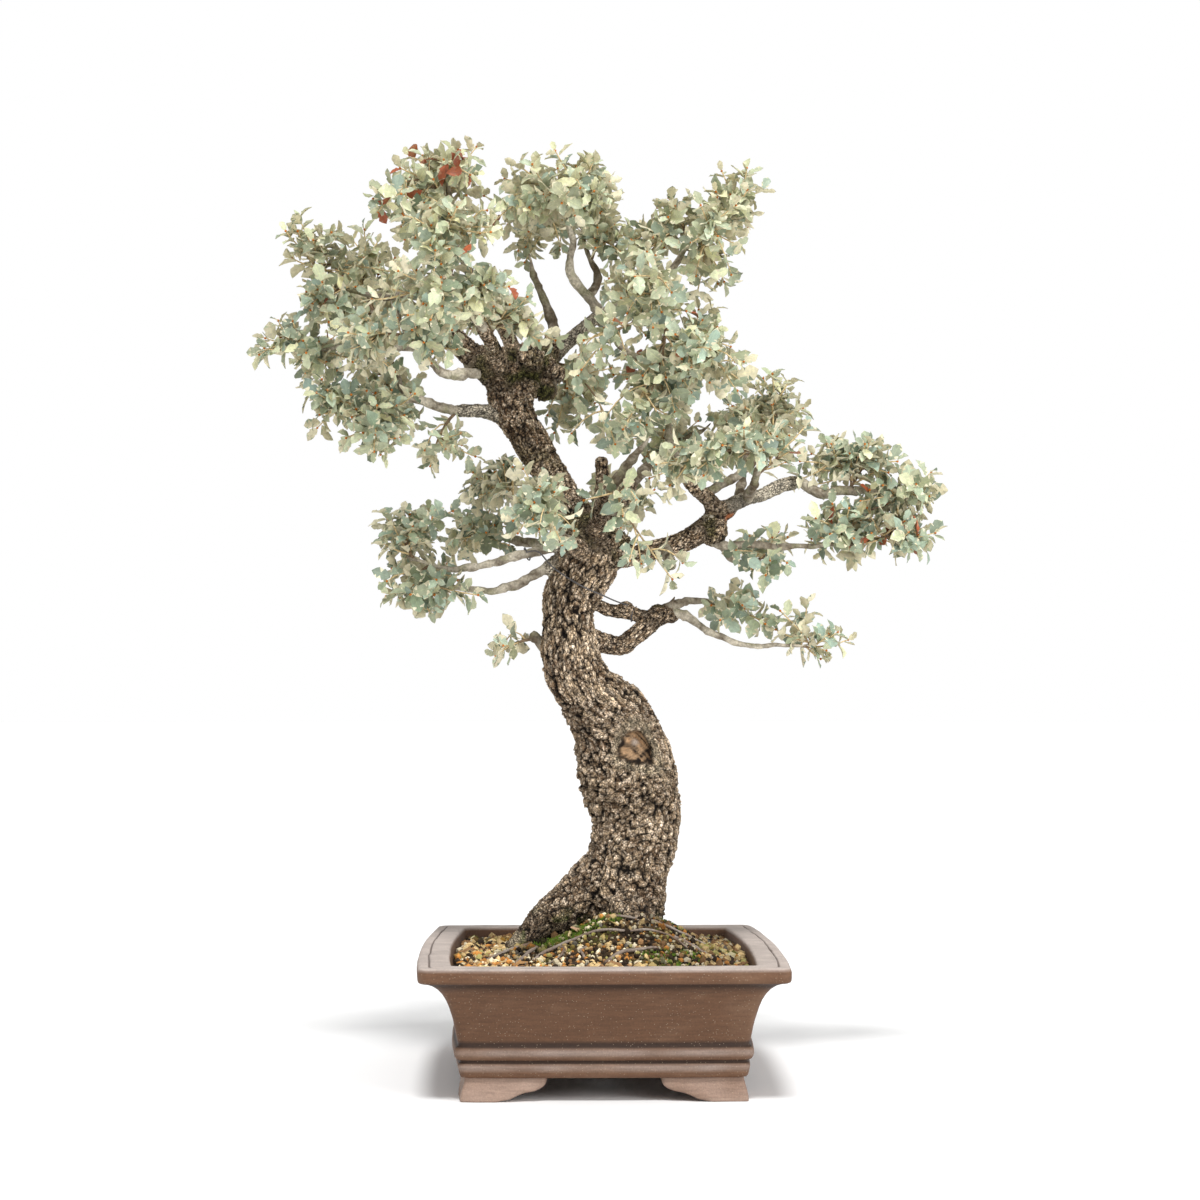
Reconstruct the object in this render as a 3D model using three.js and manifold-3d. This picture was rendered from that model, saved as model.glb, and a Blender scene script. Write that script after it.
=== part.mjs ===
// Holm oak bonsai in an unglazed stoneware pot.
// Millimetres, +Z up. The origin is on the ground under the middle of the pot, and the front faces -Y.

import * as THREE from 'three';
import { mergeVertices } from 'three/addons/utils/BufferGeometryUtils.js';
import Module from 'manifold-3d';

const wasm = await Module();
wasm.setup();

// Driving dimensions of the pot. An inset is measured inwards from the rim's outer edge.
const rimHalfWidth = 140;
const rimHalfLength = 196;
const longSideBow = 5.5;
const shortSideBow = 2.5;
const cornerRadius = 9;
const cornerTightening = 0.1;
const smallestCorner = 4;
const cornerAngles = [0, 45, 90];
const shortSideShares = [0.5, 0, -0.5];
const longSideShares = [0.6, 0, -0.6];
const rimTop = 103;
const bodyBottom = 18;
const floorTop = 26;
const baseInset = 28.7;
const drainRadius = 13;
const drainDistance = 92;
const drainPlugLength = 40;
const drainSides = 16;
const clearance = 0.3;

// The pot's profile as [inset, height], up the outside, over the rim and down the inside.
const outerProfile = [
  [baseInset, bodyBottom], [27.2, 20], [27.2, 27], [29.4, 31], [27.2, 34], [27.2, 40], [28.6, 42],
  [26, 60], [21.7, 76], [14, 86.5], [0.8, 92.4], [0, rimTop - 1], [1.2, rimTop],
];
const rimGroove = [[8.2, rimTop], [9, rimTop - 1], [9.8, rimTop]];
const innerProfile = [[24.4, rimTop], [26, 98], [30.6, 74], [35.6, 48], [37.6, floorTop]];

// One leg of a corner foot, as [distance from the corner, height]: a flat part, then the cloud-shaped
// rise.
const footUnderside = [[0, 0], [29, 0], [35, 4.4], [44, 10.4], [54, 12.6], [65, 15.6]];
const sideFootStretch = 1.3;
const footThickness = 16;
const footFlare = 1.4;

// Drainage mesh: square pieces that lie on the floor over the holes.
const meshSize = 44;
const meshThickness = 1.2;
const meshOpenings = 2;
const meshBar = 5;

// Soil: level at the walls, with a mound round the root base.
const soilEdgeHeight = 95;
const soilEdgeInset = 26.7;
const moundHeight = 36;
const moundCentre = [20, -14];
const moundSpread = [60, 82];
const soilGrain = 3.4;
const soilRings = 7;
const soilInnerRing = 0.6;

// The tree is laid out as it is seen from the front, at this distance and eye height. Each point of
// the wood is [across, up, depth, radius], with across and up as they measure in the plane of depth 0.
const eyeDistance = 2161;
const eyeHeight = 300;

const wood = {
  trunk: [
    [16, 78, 0, 29.5], [17, 102, 0, 31], [18, 121, 0, 32], [19, 137, 0, 33.5], [21, 152, 2, 34.5],
    [25, 170, 5, 34.5], [28, 188, 8, 35], [30, 209, 10, 36], [26, 229, 10, 39.5], [22, 247, 8, 40],
    [17, 266, 4, 37], [11, 282, 0, 33.5], [0, 298, -5, 28.5], [-12, 313, -10, 24.5], [-21, 330, -14, 24.5],
    [-25, 348, -16, 23.5], [-26, 371, -14, 20.5], [-24, 387, -10, 21],
    [-17, 402, -6, 23], [-9, 417, -2, 25.5],
    [-2, 431, 0, 24],
  ],
  upper_trunk: [
    [-4, 426, 0, 18], [-17, 450, 4, 15], [-30, 473, 9, 13], [-43, 493, 14, 13], [-53, 510, 18, 14.5],
    [-63, 527, 20, 15.5], [-70, 541, 20, 17], [-72, 556, 18, 20.5], [-70, 571, 16, 20.5],
  ],
  root_left: [
    [11, 167, 0, 24.5], [-7, 148, -4, 23], [-27, 133, -8, 19], [-44, 122, -12, 15], [-57, 111, -16, 10.5],
    [-73, 98, -22, 7.5],
  ],
  root_front: [[17, 135, -10, 24.5], [24, 119, -34, 19.5], [29, 102, -56, 13], [34, 86, -72, 8]],
  root_right: [[34, 139, 10, 18], [47, 121, 14, 14], [60, 102, 20, 9], [75, 86, 28, 5.5]],
  root_back: [[13, 139, 20, 21.5], [2, 119, 44, 16.5], [-11, 100, 66, 10.5]],
  leader: [
    [-80, 562, 14, 10.5], [-99, 581, 8, 10.5], [-114, 595, 2, 9],
    [-125, 611, -4, 7.5], [-130, 632, -8, 6.5],
    [-128, 652, -8, 5.5], [-122, 673, -6, 5], [-118, 691, -3, 4], [-122, 710, 0, 3.5], [-125, 729, 2, 2.5],
  ],
  leader_back: [[-124, 663, -6, 4], [-126, 674, 20, 3.5], [-129, 688, 48, 3], [-131, 701, 72, 2.5]],
  crown_front: [
    [-81, 576, 0, 7.5], [-89, 595, -35, 5.5], [-99, 611, -65, 5],
    [-112, 632, -95, 4.5], [-126, 652, -118, 3.5],
    [-137, 669, -132, 3],
  ],
  crown_back: [
    [-65, 576, 34, 8], [-71, 595, 62, 6.5], [-81, 617, 85, 5.5], [-94, 638, 105, 5], [-106, 658, 122, 4],
    [-116, 674, 135, 3],
  ],
  upper_left: [
    [-131, 631, -8, 4], [-151, 635, -14, 3.5], [-164, 637, -18, 3.5],
    [-173, 634, -20, 3], [-196, 639, -22, 3],
    [-211, 643, -20, 2.5], [-224, 651, -15, 2],
  ],
  left_high: [
    [-99, 573, 0, 5.5], [-116, 571, -8, 4.5], [-130, 573, -14, 4],
    [-139, 582, -18, 3.5], [-149, 591, -20, 3.5],
    [-164, 594, -20, 3.5], [-176, 590, -20, 3], [-189, 584, -14, 3],
    [-208, 594, -8, 2.5], [-224, 592, -4, 2.5],
    [-240, 590, 0, 2],
  ],
  left_front: [[-144, 587, -20, 3.5], [-152, 595, -50, 3], [-162, 607, -80, 3], [-170, 622, -105, 2.5]],
  left_back: [[-164, 594, -18, 3], [-170, 601, 8, 3], [-178, 611, 42, 2.5], [-185, 623, 74, 2.5]],
  left_low: [
    [-81, 538, 16, 7.5], [-98, 541, 12, 5.5], [-117, 541, 8, 5], [-135, 545, 4, 4.5], [-154, 550, 0, 4],
    [-167, 546, 4, 3.5], [-181, 543, 8, 3], [-196, 542, 8, 2.5], [-209, 541, 8, 2],
  ],
  left_low_rise: [[-157, 551, 2, 3.5], [-162, 559, 14, 3], [-167, 573, 30, 2.5]],
  stub_up: [
    [-47, 578, 22, 8], [-41, 591, 26, 7.5], [-37, 607, 30, 5.5], [-41, 623, 32, 4], [-48, 639, 32, 3.5],
    [-53, 654, 30, 3.5],
  ],
  right_crown: [
    [-48, 573, 24, 8], [-35, 589, 34, 6.5], [-19, 604, 38, 5.5], [-1, 619, 34, 5.5], [7, 624, 30, 5],
    [17, 627, 26, 4.5], [29, 632, 22, 4.5], [39, 637, 18, 4], [47, 644, 14, 4], [57, 656, 10, 3.5],
    [66, 667, 6, 3.5], [72, 678, 4, 3], [84, 687, 4, 2.5], [94, 694, 8, 2.5], [108, 703, 12, 2],
  ],
  crown_fork: [
    [1, 622, 34, 4.5], [-7, 633, 32, 4], [-16, 643, 29, 4], [-22, 652, 26, 4.5], [-25, 666, 22, 3.5],
    [-21, 681, 18, 3.5], [-25, 696, 12, 3], [-22, 710, 6, 2.5],
  ],
  crown_fork_right: [
    [-9, 633, 34, 4], [-1, 651, 38, 3.5], [-6, 666, 40, 3],
    [-11, 681, 44, 2.5], [-12, 696, 46, 2.5],
  ],
  right_hang: [
    [1, 617, 36, 4], [16, 597, 30, 3.5], [29, 587, 22, 3], [44, 579, 12, 3], [56, 572, 4, 3],
    [71, 570, -4, 2.5], [84, 570, -10, 2.5], [98, 576, -12, 2],
  ],
  right_front: [
    [29, 630, 20, 4], [37, 627, -8, 3.5], [46, 622, -38, 3],
    [55, 614, -66, 3], [64, 604, -90, 2.5],
  ],
  right_back: [
    [11, 624, 32, 4], [22, 627, 56, 4], [35, 622, 80, 3.5],
    [47, 609, 96, 3], [57, 595, 104, 2.5],
  ],
  centre_stub: [[-2, 439, 0, 7.5], [-1, 463, -10, 5.5], [2, 483, -16, 5.5], [1, 502, -20, 5]],
  mid_front: [
    [-4, 436, -16, 8], [-1, 455, -44, 6.5], [6, 474, -68, 5.5],
    [16, 490, -88, 4.5], [30, 507, -102, 3.5],
  ],
  mid_back: [
    [2, 439, 18, 8], [14, 459, 48, 6.5], [27, 479, 74, 5.5], [42, 497, 94, 4.5], [62, 512, 108, 4],
    [83, 523, 118, 3],
  ],
  left_top: [[-22, 449, -2, 5.5], [-40, 457, -8, 4.5], [-55, 463, -4, 4], [-68, 468, 2, 3]],
  left_front_low: [[-14, 425, -24, 7.5], [-25, 432, -52, 5.5], [-36, 440, -76, 4.5], [-44, 451, -92, 3.5]],
  left_back_low: [
    [-12, 422, 22, 7.5], [-29, 426, 44, 5.5], [-48, 431, 64, 4.5],
    [-69, 435, 80, 4], [-86, 439, 90, 3],
  ],
  left_arm: [
    [-22, 418, -4, 9], [-35, 415, -8, 7.5], [-45, 410, -12, 5.5], [-57, 404, -14, 4], [-73, 396, -14, 4],
    [-86, 393, -12, 3.5], [-108, 394, -8, 3], [-126, 395, -6, 2.5],
  ],
  left_up_arm: [
    [-19, 430, -2, 8], [-35, 430, -10, 5.5], [-53, 425, -18, 4.5], [-71, 420, -22, 4], [-89, 415, -24, 3.5],
    [-108, 412, -24, 3.5], [-125, 411, -20, 3], [-139, 414, -14, 2.5], [-152, 419, -8, 2],
  ],
  right_main: [
    [1, 422, -4, 10.5], [25, 421, -14, 8.5], [40, 426, -18, 8], [55, 429, -20, 8], [72, 435, -20, 8.5],
    [86, 444, -18, 9], [96, 454, -16, 9],
  ],
  right_arm: [
    [93, 451, -16, 8], [106, 462, -12, 6.5], [121, 469, -8, 5.5], [134, 472, -4, 5.5], [148, 479, 0, 5.5],
    [164, 483, 2, 5], [174, 477, 2, 4.5], [185, 472, 0, 4], [196, 476, -2, 4], [208, 476, -2, 4],
    [219, 476, -2, 3.5], [232, 474, -1, 3], [245, 473, 0, 2.5],
  ],
  arm_front: [[122, 469, -10, 5], [126, 479, -34, 4], [129, 490, -58, 3.5], [134, 502, -78, 2.5]],
  arm_back: [
    [116, 468, -6, 5], [117, 479, 24, 4], [120, 492, 56, 3.5],
    [122, 505, 84, 3], [124, 517, 106, 2.5],
  ],
  left_fork: [
    [96, 458, -16, 7.5], [89, 469, -20, 6], [79, 477, -22, 5.5], [71, 486, -22, 5], [67, 498, -20, 4.5],
    [59, 512, -14, 4], [57, 527, -8, 3.5], [60, 541, -4, 3],
  ],
  fork_right: [
    [86, 472, -20, 4.5], [106, 484, -12, 4], [122, 494, -4, 3.5],
    [135, 509, 6, 3], [142, 523, 14, 2.5],
  ],
  right_front_low: [[52, 428, -24, 5.5], [55, 423, -48, 4.5], [57, 417, -72, 4], [57, 412, -92, 3]],
  right_low: [
    [86, 440, -22, 5.5], [101, 431, -18, 4], [121, 431, -14, 3.5], [140, 430, -10, 3.5], [160, 430, -6, 3],
    [185, 430, -4, 2.5], [206, 431, -2, 2.5], [226, 435, 0, 2],
  ],
  right_low_under: [[96, 434, -18, 4], [103, 425, -6, 3.5], [112, 418, 4, 3], [124, 417, 8, 2.5]],
  loop_top: [
    [-13, 385, 0, 6.5], [-1, 381, 6, 5.5], [7, 377, 10, 5.5], [16, 376, 12, 5.5], [28, 374, 12, 5.5],
    [39, 371, 10, 5.5], [50, 373, 8, 6],
  ],
  loop_low: [
    [-14, 354, -8, 11.5], [-1, 351, -2, 8.5], [11, 348, 2, 7.5], [19, 348, 4, 7.5], [27, 354, 6, 7.5],
    [36, 361, 8, 7.5], [44, 367, 8, 7], [51, 374, 8, 6.5],
  ],
  low_right: [
    [52, 374, 8, 5.5], [63, 374, 4, 4.5], [73, 371, 0, 4], [81, 365, -4, 3.5], [98, 355, -8, 3.5],
    [114, 350, -10, 3], [127, 348, -8, 3], [143, 348, -6, 2.5], [160, 348, -4, 2],
  ],
  low_right_rise: [[53, 376, 10, 4.5], [64, 382, 15, 4], [76, 385, 20, 3.5], [91, 383, 26, 3]],
  cut_stub: [[-35, 336, -14, 5.5], [-46, 347, -14, 4.5], [-57, 356, -14, 4]],
};

// Swellings of the wood: the two-lobed burl on top, the junction, old cuts and knuckles.
const burls = [
  [-69, 573, 18, 24], [-46, 580, 22, 12.5], [-44, 559, 16, 10], [-93, 581, 6, 13.5], [-11, 434, 0, 25.5],
  [11, 430, -6, 15], [93, 442, -18, 12], [50, 373, 8, 9], [-55, 125, -12, 12], [39, 272, 4, 18.5],
];
const burlRelief = 0.14;

// Bark of the trunk: staggered plates. The roots and the wood below the soil stay smooth.
const trunkSides = 14;
const upperTrunkSides = 10;
const trunkRowsPerStep = 2;
const plateRelief = 1.5;
const barkStartHeight = 150;
const branchSides = 5;
const twigSides = 4;
const rootSpaceTop = 150;
const twigRadius = 5;
const straightWithin = 2;

// The old cut on the front of the trunk: a callus ring round a hollow.
const woundCentre = [29, 264, -33];
const woundRingRadius = 11.5;
const woundRingThickness = 4.2;
const woundRingSides = 5;
const woundRingSteps = 12;
const woundHollowRadius = 9;
const woundHollowDepth = 6;

// Leafy sprays. Each row lists the tips of one spray, as [across, up, depth]: the first tip ends its
// stem, and the others end side shoots. The stem grows from the nearest wood.
const sprays = [
  [[-126, 756, 0], [-140, 742, 25], [-106, 743, -35]],
  [[-165, 742, -30], [-184, 706, -70]],
  [[-67, 745, 20], [-63, 722, 55]],
  [[-16, 742, -10], [7, 732, 20], [-32, 714, -45]],
  [[12, 696, 20], [-7, 714, 60]],
  [[-44, 726, 90], [-69, 701, 110]],
  [[-125, 704, -130], [-147, 689, -150]],
  [[-245, 673, 0], [-222, 688, -20]],
  [[-200, 663, 80]],
  [[-135, 722, 95], [-110, 685, 155]],
  [[-143, 617, -165], [-159, 660, -150]],
  [[-94, 648, -105]],
  [[-112, 626, 128]],
  [[-176, 632, 115], [-204, 603, 85]],
  [[-237, 625, -15]],
  [[-262, 601, 0], [-245, 587, 15]],
  [[-209, 603, -80]],
  [[-225, 555, 0]],
  [[-184, 562, 50], [-151, 529, 45]],
  [[-195, 523, -30]],
  [[-139, 496, 8], [-114, 513, 12]],
  [[-118, 595, -75]],
  [[-73, 617, -55]],
  [[-28, 595, -75], [-30, 570, -70]],
  [[122, 734, 20], [112, 710, 15]],
  [[58, 718, 35], [46, 693, 15]],
  [[93, 699, -20], [79, 663, 5]],
  [[38, 673, -60], [57, 640, -110], [42, 611, -100]],
  [[30, 656, 95], [50, 640, 110]],
  [[93, 625, -20], [108, 595, 10]],
  [[79, 591, -120], [116, 566, -90]],
  [[149, 545, 30], [136, 568, 20]],
  [[75, 562, 110], [21, 587, 110]],
  [[-3, 562, 60]],
  [[42, 554, -70], [30, 529, -95]],
  [[120, 533, 130], [136, 513, 150]],
  [[157, 509, -60], [136, 525, -90]],
  [[99, 513, -130], [54, 496, -110]],
  [[60, 520, 124]],
  [[218, 504, 0], [245, 500, -15]],
  [[268, 477, 5], [224, 461, 20]],
  [[261, 441, 0], [251, 455, 15]],
  [[208, 447, 22], [190, 440, -24]],
  [[144, 431, 50], [136, 406, -40]],
  [[186, 344, 0], [165, 357, 20], [149, 376, -10]],
  [[112, 381, 40], [99, 369, -20]],
  [[-166, 441, 0], [-147, 431, 25], [-122, 458, -30]],
  [[-77, 480, 10], [-99, 468, 35]],
  [[-53, 476, -85], [-73, 451, -105], [-34, 431, -140]],
  [[-102, 443, 95], [-118, 422, 110]],
  [[-163, 387, 0], [-140, 376, -15], [-131, 402, 40]],
  [[-85, 340, -10]],
  [[17, 455, -115], [57, 403, -110]],
  [[5, 468, 110], [25, 451, 130]],
];
const stemRadius = 1.8;
const tipRadius = 1.2;
const shootSides = 3;
const stemSteps = 2;
const shootSteps = 1;
const rosetteDepth = 2.4;
const forkShare = 0.5;
const forkStep = 0.14;
const forkLookAhead = 0.1;
const forkPull = 0.35;
const stemPull = 0.4;
const sideStemShare = 0.5;

// How a spray is tried until it is clear of the others: swings of its stem as [sideways, up], and how
// far along the wood and out of it its butt may move to sit just off the bark.
const swings = [[0, 0], [0.4, 0], [-0.4, 0], [0, 0.45], [0, -0.45], [0.7, 0.3], [-0.7, 0.3]];
const sprayAttempts = 28;
const setBackStep = 6;
const seatStartShare = 0.85;
const seatStep = 0.2;
const seatReach = 6;
const widestSeatGap = 0.9;
const rosetteAttempts = 4;
const rosetteTurn = 0.5;
const leafClearance = 0.4;
const footholdSteps = 6;
const setBackShare = 0.45;

// A leaf: an oval blade with two spiny teeth on each side, given as [along, half width], folded up
// along its rib and drooping at its tip. One grows from each side of a shoot's end.
const leafSide = [[0.3, 0.92], [0.47, 0.66], [0.68, 0.9]];
const leafLength = 22;
const leafLengthSpread = 5;
const leafWidthRatio = 0.58;
const leafFold = 0.22;
const leafDroop = 0.16;
const ribThickness = 1.3;
const ribTopShare = 0.45;
const leafTilt = 66;
const leafTiltSpread = 16;
const leafLift = 0.5;
const drawsPerShoot = 8;

// The guy wire: its free run in front of the trunk, and its two loops round branches.
const wireRadius = 0.8;
const wireSides = 5;
const wireRun = [
  [-51, 425, -26], [-40, 413, -34], [-26, 403, -37],
  [-12, 395, -36], [0, 390, -27], [14, 384, -8],
];
const quarterTurn = Math.PI / 2;
const wireLoops = {
  start: { round: ['left_up_arm', 1, 0.7], angle: 2.4 * quarterTurn, turn: 3.4 * quarterTurn },
  end: { round: ['loop_top', 2, 0], angle: 0.6 * quarterTurn, turn: -3.4 * quarterTurn },
};
const wireLoopSteps = 8;
const wireLoopPitch = 3 * wireRadius;

const xAxis = new THREE.Vector3(1, 0, 0);
const zAxis = new THREE.Vector3(0, 0, 1);
const nearlyUpright = 0.95;
const weldDistance = 1e-4;
const lumpWeldDistance = 1e-3;
const drawMix = [12.9898, 78.233, 37.719];
const drawScale = 43758.5453;

// A repeatable draw from 0 to 1 for three counting numbers.
function draw(a, b, c) {
  const value = Math.sin(a * drawMix[0] + b * drawMix[1] + c * drawMix[2]) * drawScale;
  return value - Math.floor(value);
}

// The real place of a point laid out as seen from the front.
function seen([across, up, depth]) {
  const scale = 1 + depth / eyeDistance;
  return new THREE.Vector3(across * scale, depth, eyeHeight + (up - eyeHeight) * scale);
}

// A solid from points and triangles, turned so that its faces point outwards.
function solid(points, triangles) {
  let volume = 0;
  for (const [a, b, c] of triangles) {
    volume += points[a].dot(new THREE.Vector3().crossVectors(points[b], points[c]));
  }
  const turned = volume < 0 ? triangles.map(([a, b, c]) => [a, c, b]) : triangles;
  return new wasm.Manifold(new wasm.Mesh({
    numProp: 3,
    vertProperties: new Float32Array(points.flatMap((p) => p.toArray())),
    triVerts: new Uint32Array(turned.flat()),
  }));
}

// A solid from a closed geometry.
function solidOf(geometry) {
  const bare = geometry.clone();
  bare.deleteAttribute('normal');
  bare.deleteAttribute('uv');
  const merged = mergeVertices(bare, weldDistance);
  const position = merged.getAttribute('position');
  const points = [];
  for (let i = 0; i < position.count; i += 1) {
    points.push(new THREE.Vector3().fromBufferAttribute(position, i));
  }
  const index = merged.getIndex().array;
  const triangles = [];
  for (let i = 0; i < index.length; i += 3) {
    const corners = [index[i], index[i + 1], index[i + 2]];
    if (new Set(corners).size === 3) triangles.push(corners);
  }
  return solid(points, triangles);
}

function geometryOf(body) {
  const mesh = body.getMesh();
  const geometry = new THREE.BufferGeometry();
  geometry.setAttribute('position', new THREE.BufferAttribute(new Float32Array(mesh.vertProperties), 3));
  geometry.setIndex(new THREE.BufferAttribute(new Uint32Array(mesh.triVerts), 1));
  geometry.computeVertexNormals();
  return geometry;
}

function join(bodies) {
  return wasm.Manifold.union(bodies);
}

// The largest connected piece of a body, without loose scraps.
function wholeOf(body) {
  return body.decompose().reduce((a, b) => (b.volume() > a.volume() ? b : a));
}

// A solid through rings of equal point counts, closed by a fan at each end. Where leaves has an entry
// for a side, that side of the last row bears the leaf in place of its plain face.
function loft(rings, leaves = []) {
  const count = rings[0].length;
  const points = rings.flat();
  const triangles = [];
  for (let row = 0; row + 1 < rings.length; row += 1) {
    for (let i = 0; i < count; i += 1) {
      const a = row * count + i;
      const b = row * count + (i + 1) % count;
      if (row + 2 === rings.length && leaves[i]) {
        addLeaf(points, triangles, [a, b, b + count, a + count], leaves[i]);
      } else {
        triangles.push([a, b, b + count], [a, b + count, a + count]);
      }
    }
  }
  for (const row of [0, rings.length - 1]) {
    const middle = new THREE.Vector3();
    for (const point of rings[row]) middle.addScaledVector(point, 1 / count);
    const centre = points.push(middle) - 1;
    for (let i = 0; i < count; i += 1) {
      const a = row * count + i;
      const b = row * count + (i + 1) % count;
      triangles.push(row === 0 ? [b, a, centre] : [a, b, centre]);
    }
  }
  return solid(points, triangles);
}

// The rim of a leaf's blade from its right side round the tip to its left, then the rib's middle on
// top and underneath. Grown is the space kept clear round it.
function bladePoints({ base, along, up, length }, grown = 0) {
  const across = new THREE.Vector3().crossVectors(along, up);
  const half = (length * leafWidthRatio) / 2 + grown;
  const reach = length + grown;
  const at = (share, width, lift) => base.clone()
    .addScaledVector(along, share * reach)
    .addScaledVector(across, width * half)
    .addScaledVector(up, Math.abs(width) * half * leafFold - share * share * length * leafDroop + lift);
  const rim = leafSide.map(([share, width]) => at(share, width, 0));
  rim.push(at(1, 0, 0));
  for (const [share, width] of [...leafSide].reverse()) rim.push(at(share, -width, 0));
  const thickness = ribThickness + 2 * grown;
  const top = at(0.5, 0, thickness * ribTopShare);
  const bottom = at(0.5, 0, -thickness * (1 - ribTopShare));
  return { rim, top, bottom };
}

// A leaf on the face with the corners lower right, lower left, upper left and upper right, as seen
// from the shoot's tip with the leaf pointing away.
function addLeaf(points, triangles, [lowerRight, lowerLeft, upperLeft, upperRight], leaf) {
  const { rim, top, bottom } = bladePoints(leaf);
  const first = points.push(...rim, top, bottom) - rim.length - 2;
  const indices = rim.map((_, i) => first + i);
  const [topCentre, bottomCentre] = [first + rim.length, first + rim.length + 1];
  const upper = [upperRight, ...indices, upperLeft];
  const lower = [lowerRight, ...indices, lowerLeft];
  for (let i = 0; i < upper.length; i += 1) {
    const next = (i + 1) % upper.length;
    triangles.push([upper[i], upper[next], topCentre], [lower[next], lower[i], bottomCentre]);
  }
  triangles.push([lowerRight, indices[0], upperRight], [indices.at(-1), lowerLeft, upperLeft]);
}

// The sections of a tapered tube along a route of { point, radius }, carried along without twist from
// its start, or from its end where a direction to line up with is given there.
function sections(route, sides, relief = () => 0, endAcross = null) {
  const rings = new Array(route.length);
  const rows = route.map((_, row) => row);
  let across = endAcross && endAcross.clone();
  for (const row of endAcross ? rows.reverse() : rows) {
    const before = route[Math.max(row - 1, 0)].point;
    const after = route[Math.min(row + 1, route.length - 1)].point;
    const along = after.clone().sub(before).normalize();
    if (!across) across = new THREE.Vector3(-along.z, along.x, along.y);
    across.addScaledVector(along, -across.dot(along)).normalize();
    const other = new THREE.Vector3().crossVectors(along, across);
    rings[row] = [];
    for (let side = 0; side < sides; side += 1) {
      const angle = (side / sides) * Math.PI * 2;
      const reach = route[row].radius + relief(row, side, route[row].point);
      const point = route[row].point.clone();
      point.addScaledVector(across, Math.cos(angle) * reach);
      point.addScaledVector(other, Math.sin(angle) * reach);
      rings[row].push(point);
    }
  }
  return rings;
}

function tube(route, sides, relief) {
  return loft(sections(route, sides, relief));
}

// The pot's outline at an inset and height: bowed sides between rounded corners.
function potOutline(inset, height) {
  const radius = Math.max(cornerRadius - inset * cornerTightening, smallestCorner);
  const cornerX = rimHalfWidth - inset - radius;
  const cornerY = rimHalfLength - inset - radius;
  const arc = cornerAngles.map((angle) => THREE.MathUtils.degToRad(angle));
  const bow = (share) => 1 - share * share;
  const ring = [];
  const push = (x, y) => ring.push(new THREE.Vector3(x, y, height));
  const quarter = [[1, 1], [-1, 1], [-1, -1], [1, -1]];
  quarter.forEach(([signX, signY], corner) => {
    const turn = corner % 2 === 0 ? arc : [...arc].reverse();
    for (const angle of turn) {
      push(signX * (cornerX + Math.cos(angle) * radius), signY * (cornerY + Math.sin(angle) * radius));
    }
    if (corner % 2 === 0) {
      for (const share of shortSideShares) {
        push(signX * share * cornerX, signY * (rimHalfLength - inset + shortSideBow * bow(share)));
      }
    } else {
      for (const share of longSideShares) {
        push(signX * (rimHalfWidth - inset + longSideBow * bow(share)), signY * share * cornerY);
      }
    }
  });
  return ring;
}

function ringsOf(profile, grow = 0) {
  return profile.map(([inset, height]) => potOutline(inset + grow, height));
}

// One leg of a foot, extruded: along X, its outer face on the base line of the pot.
function footLeg(stretch) {
  const outline = new THREE.Shape();
  const top = bodyBottom + 1;
  outline.moveTo(0, top);
  for (const [distance, height] of footUnderside) outline.lineTo(distance * stretch, height);
  outline.lineTo(footUnderside.at(-1)[0] * stretch, top);
  return new THREE.ExtrudeGeometry(outline, { depth: footThickness, bevelEnabled: false });
}

function makeFeet() {
  const cornerX = rimHalfWidth - baseInset + footFlare;
  const cornerY = rimHalfLength - baseInset + footFlare;
  const base = loft([potOutline(baseInset - footFlare, 0), potOutline(baseInset, bodyBottom + 1)]);
  const legs = [];
  for (const signX of [1, -1]) {
    for (const signY of [1, -1]) {
      const corner = new THREE.Matrix4().makeTranslation(signX * cornerX, signY * cornerY, 0);
      const alongX = footLeg(1).applyMatrix4(new THREE.Matrix4().makeBasis(
        new THREE.Vector3(-signX, 0, 0), zAxis, new THREE.Vector3(0, -signY, 0)).premultiply(corner));
      const alongY = footLeg(sideFootStretch).applyMatrix4(new THREE.Matrix4().makeBasis(
        new THREE.Vector3(0, -signY, 0), zAxis, new THREE.Vector3(-signX, 0, 0)).premultiply(corner));
      legs.push(solidOf(alongX), solidOf(alongY));
    }
  }
  // The legs reach a little past the outline, so the bowed base trims them.
  return join(legs).intersect(base);
}

function makePot() {
  const body = loft(ringsOf([...outerProfile, ...rimGroove, ...innerProfile]));
  const holes = [-1, 1].map((sign) => {
    const plug = new THREE.CylinderGeometry(drainRadius, drainRadius, drainPlugLength, drainSides);
    return solidOf(plug.rotateX(Math.PI / 2).translate(0, sign * drainDistance, bodyBottom));
  });
  return join([body, makeFeet()]).subtract(join(holes));
}

function makeDrainMesh(centreY) {
  const pitch = (meshSize - meshBar) / meshOpenings;
  const size = pitch - meshBar;
  const height = floorTop + clearance + meshThickness / 2;
  const openings = [];
  for (let column = 0; column < meshOpenings; column += 1) {
    for (let row = 0; row < meshOpenings; row += 1) {
      const x = (column - (meshOpenings - 1) / 2) * pitch;
      const y = centreY + (row - (meshOpenings - 1) / 2) * pitch;
      openings.push(solidOf(new THREE.BoxGeometry(size, size, meshThickness * 3).translate(x, y, height)));
    }
  }
  const plate = new THREE.BoxGeometry(meshSize, meshSize, meshThickness).translate(0, centreY, height);
  return solidOf(plate).subtract(join(openings));
}

function soilHeight(x, y) {
  const dx = (x - moundCentre[0]) / moundSpread[0];
  const dy = (y - moundCentre[1]) / moundSpread[1];
  return soilEdgeHeight + moundHeight * Math.exp(-dx * dx - dy * dy);
}

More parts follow.
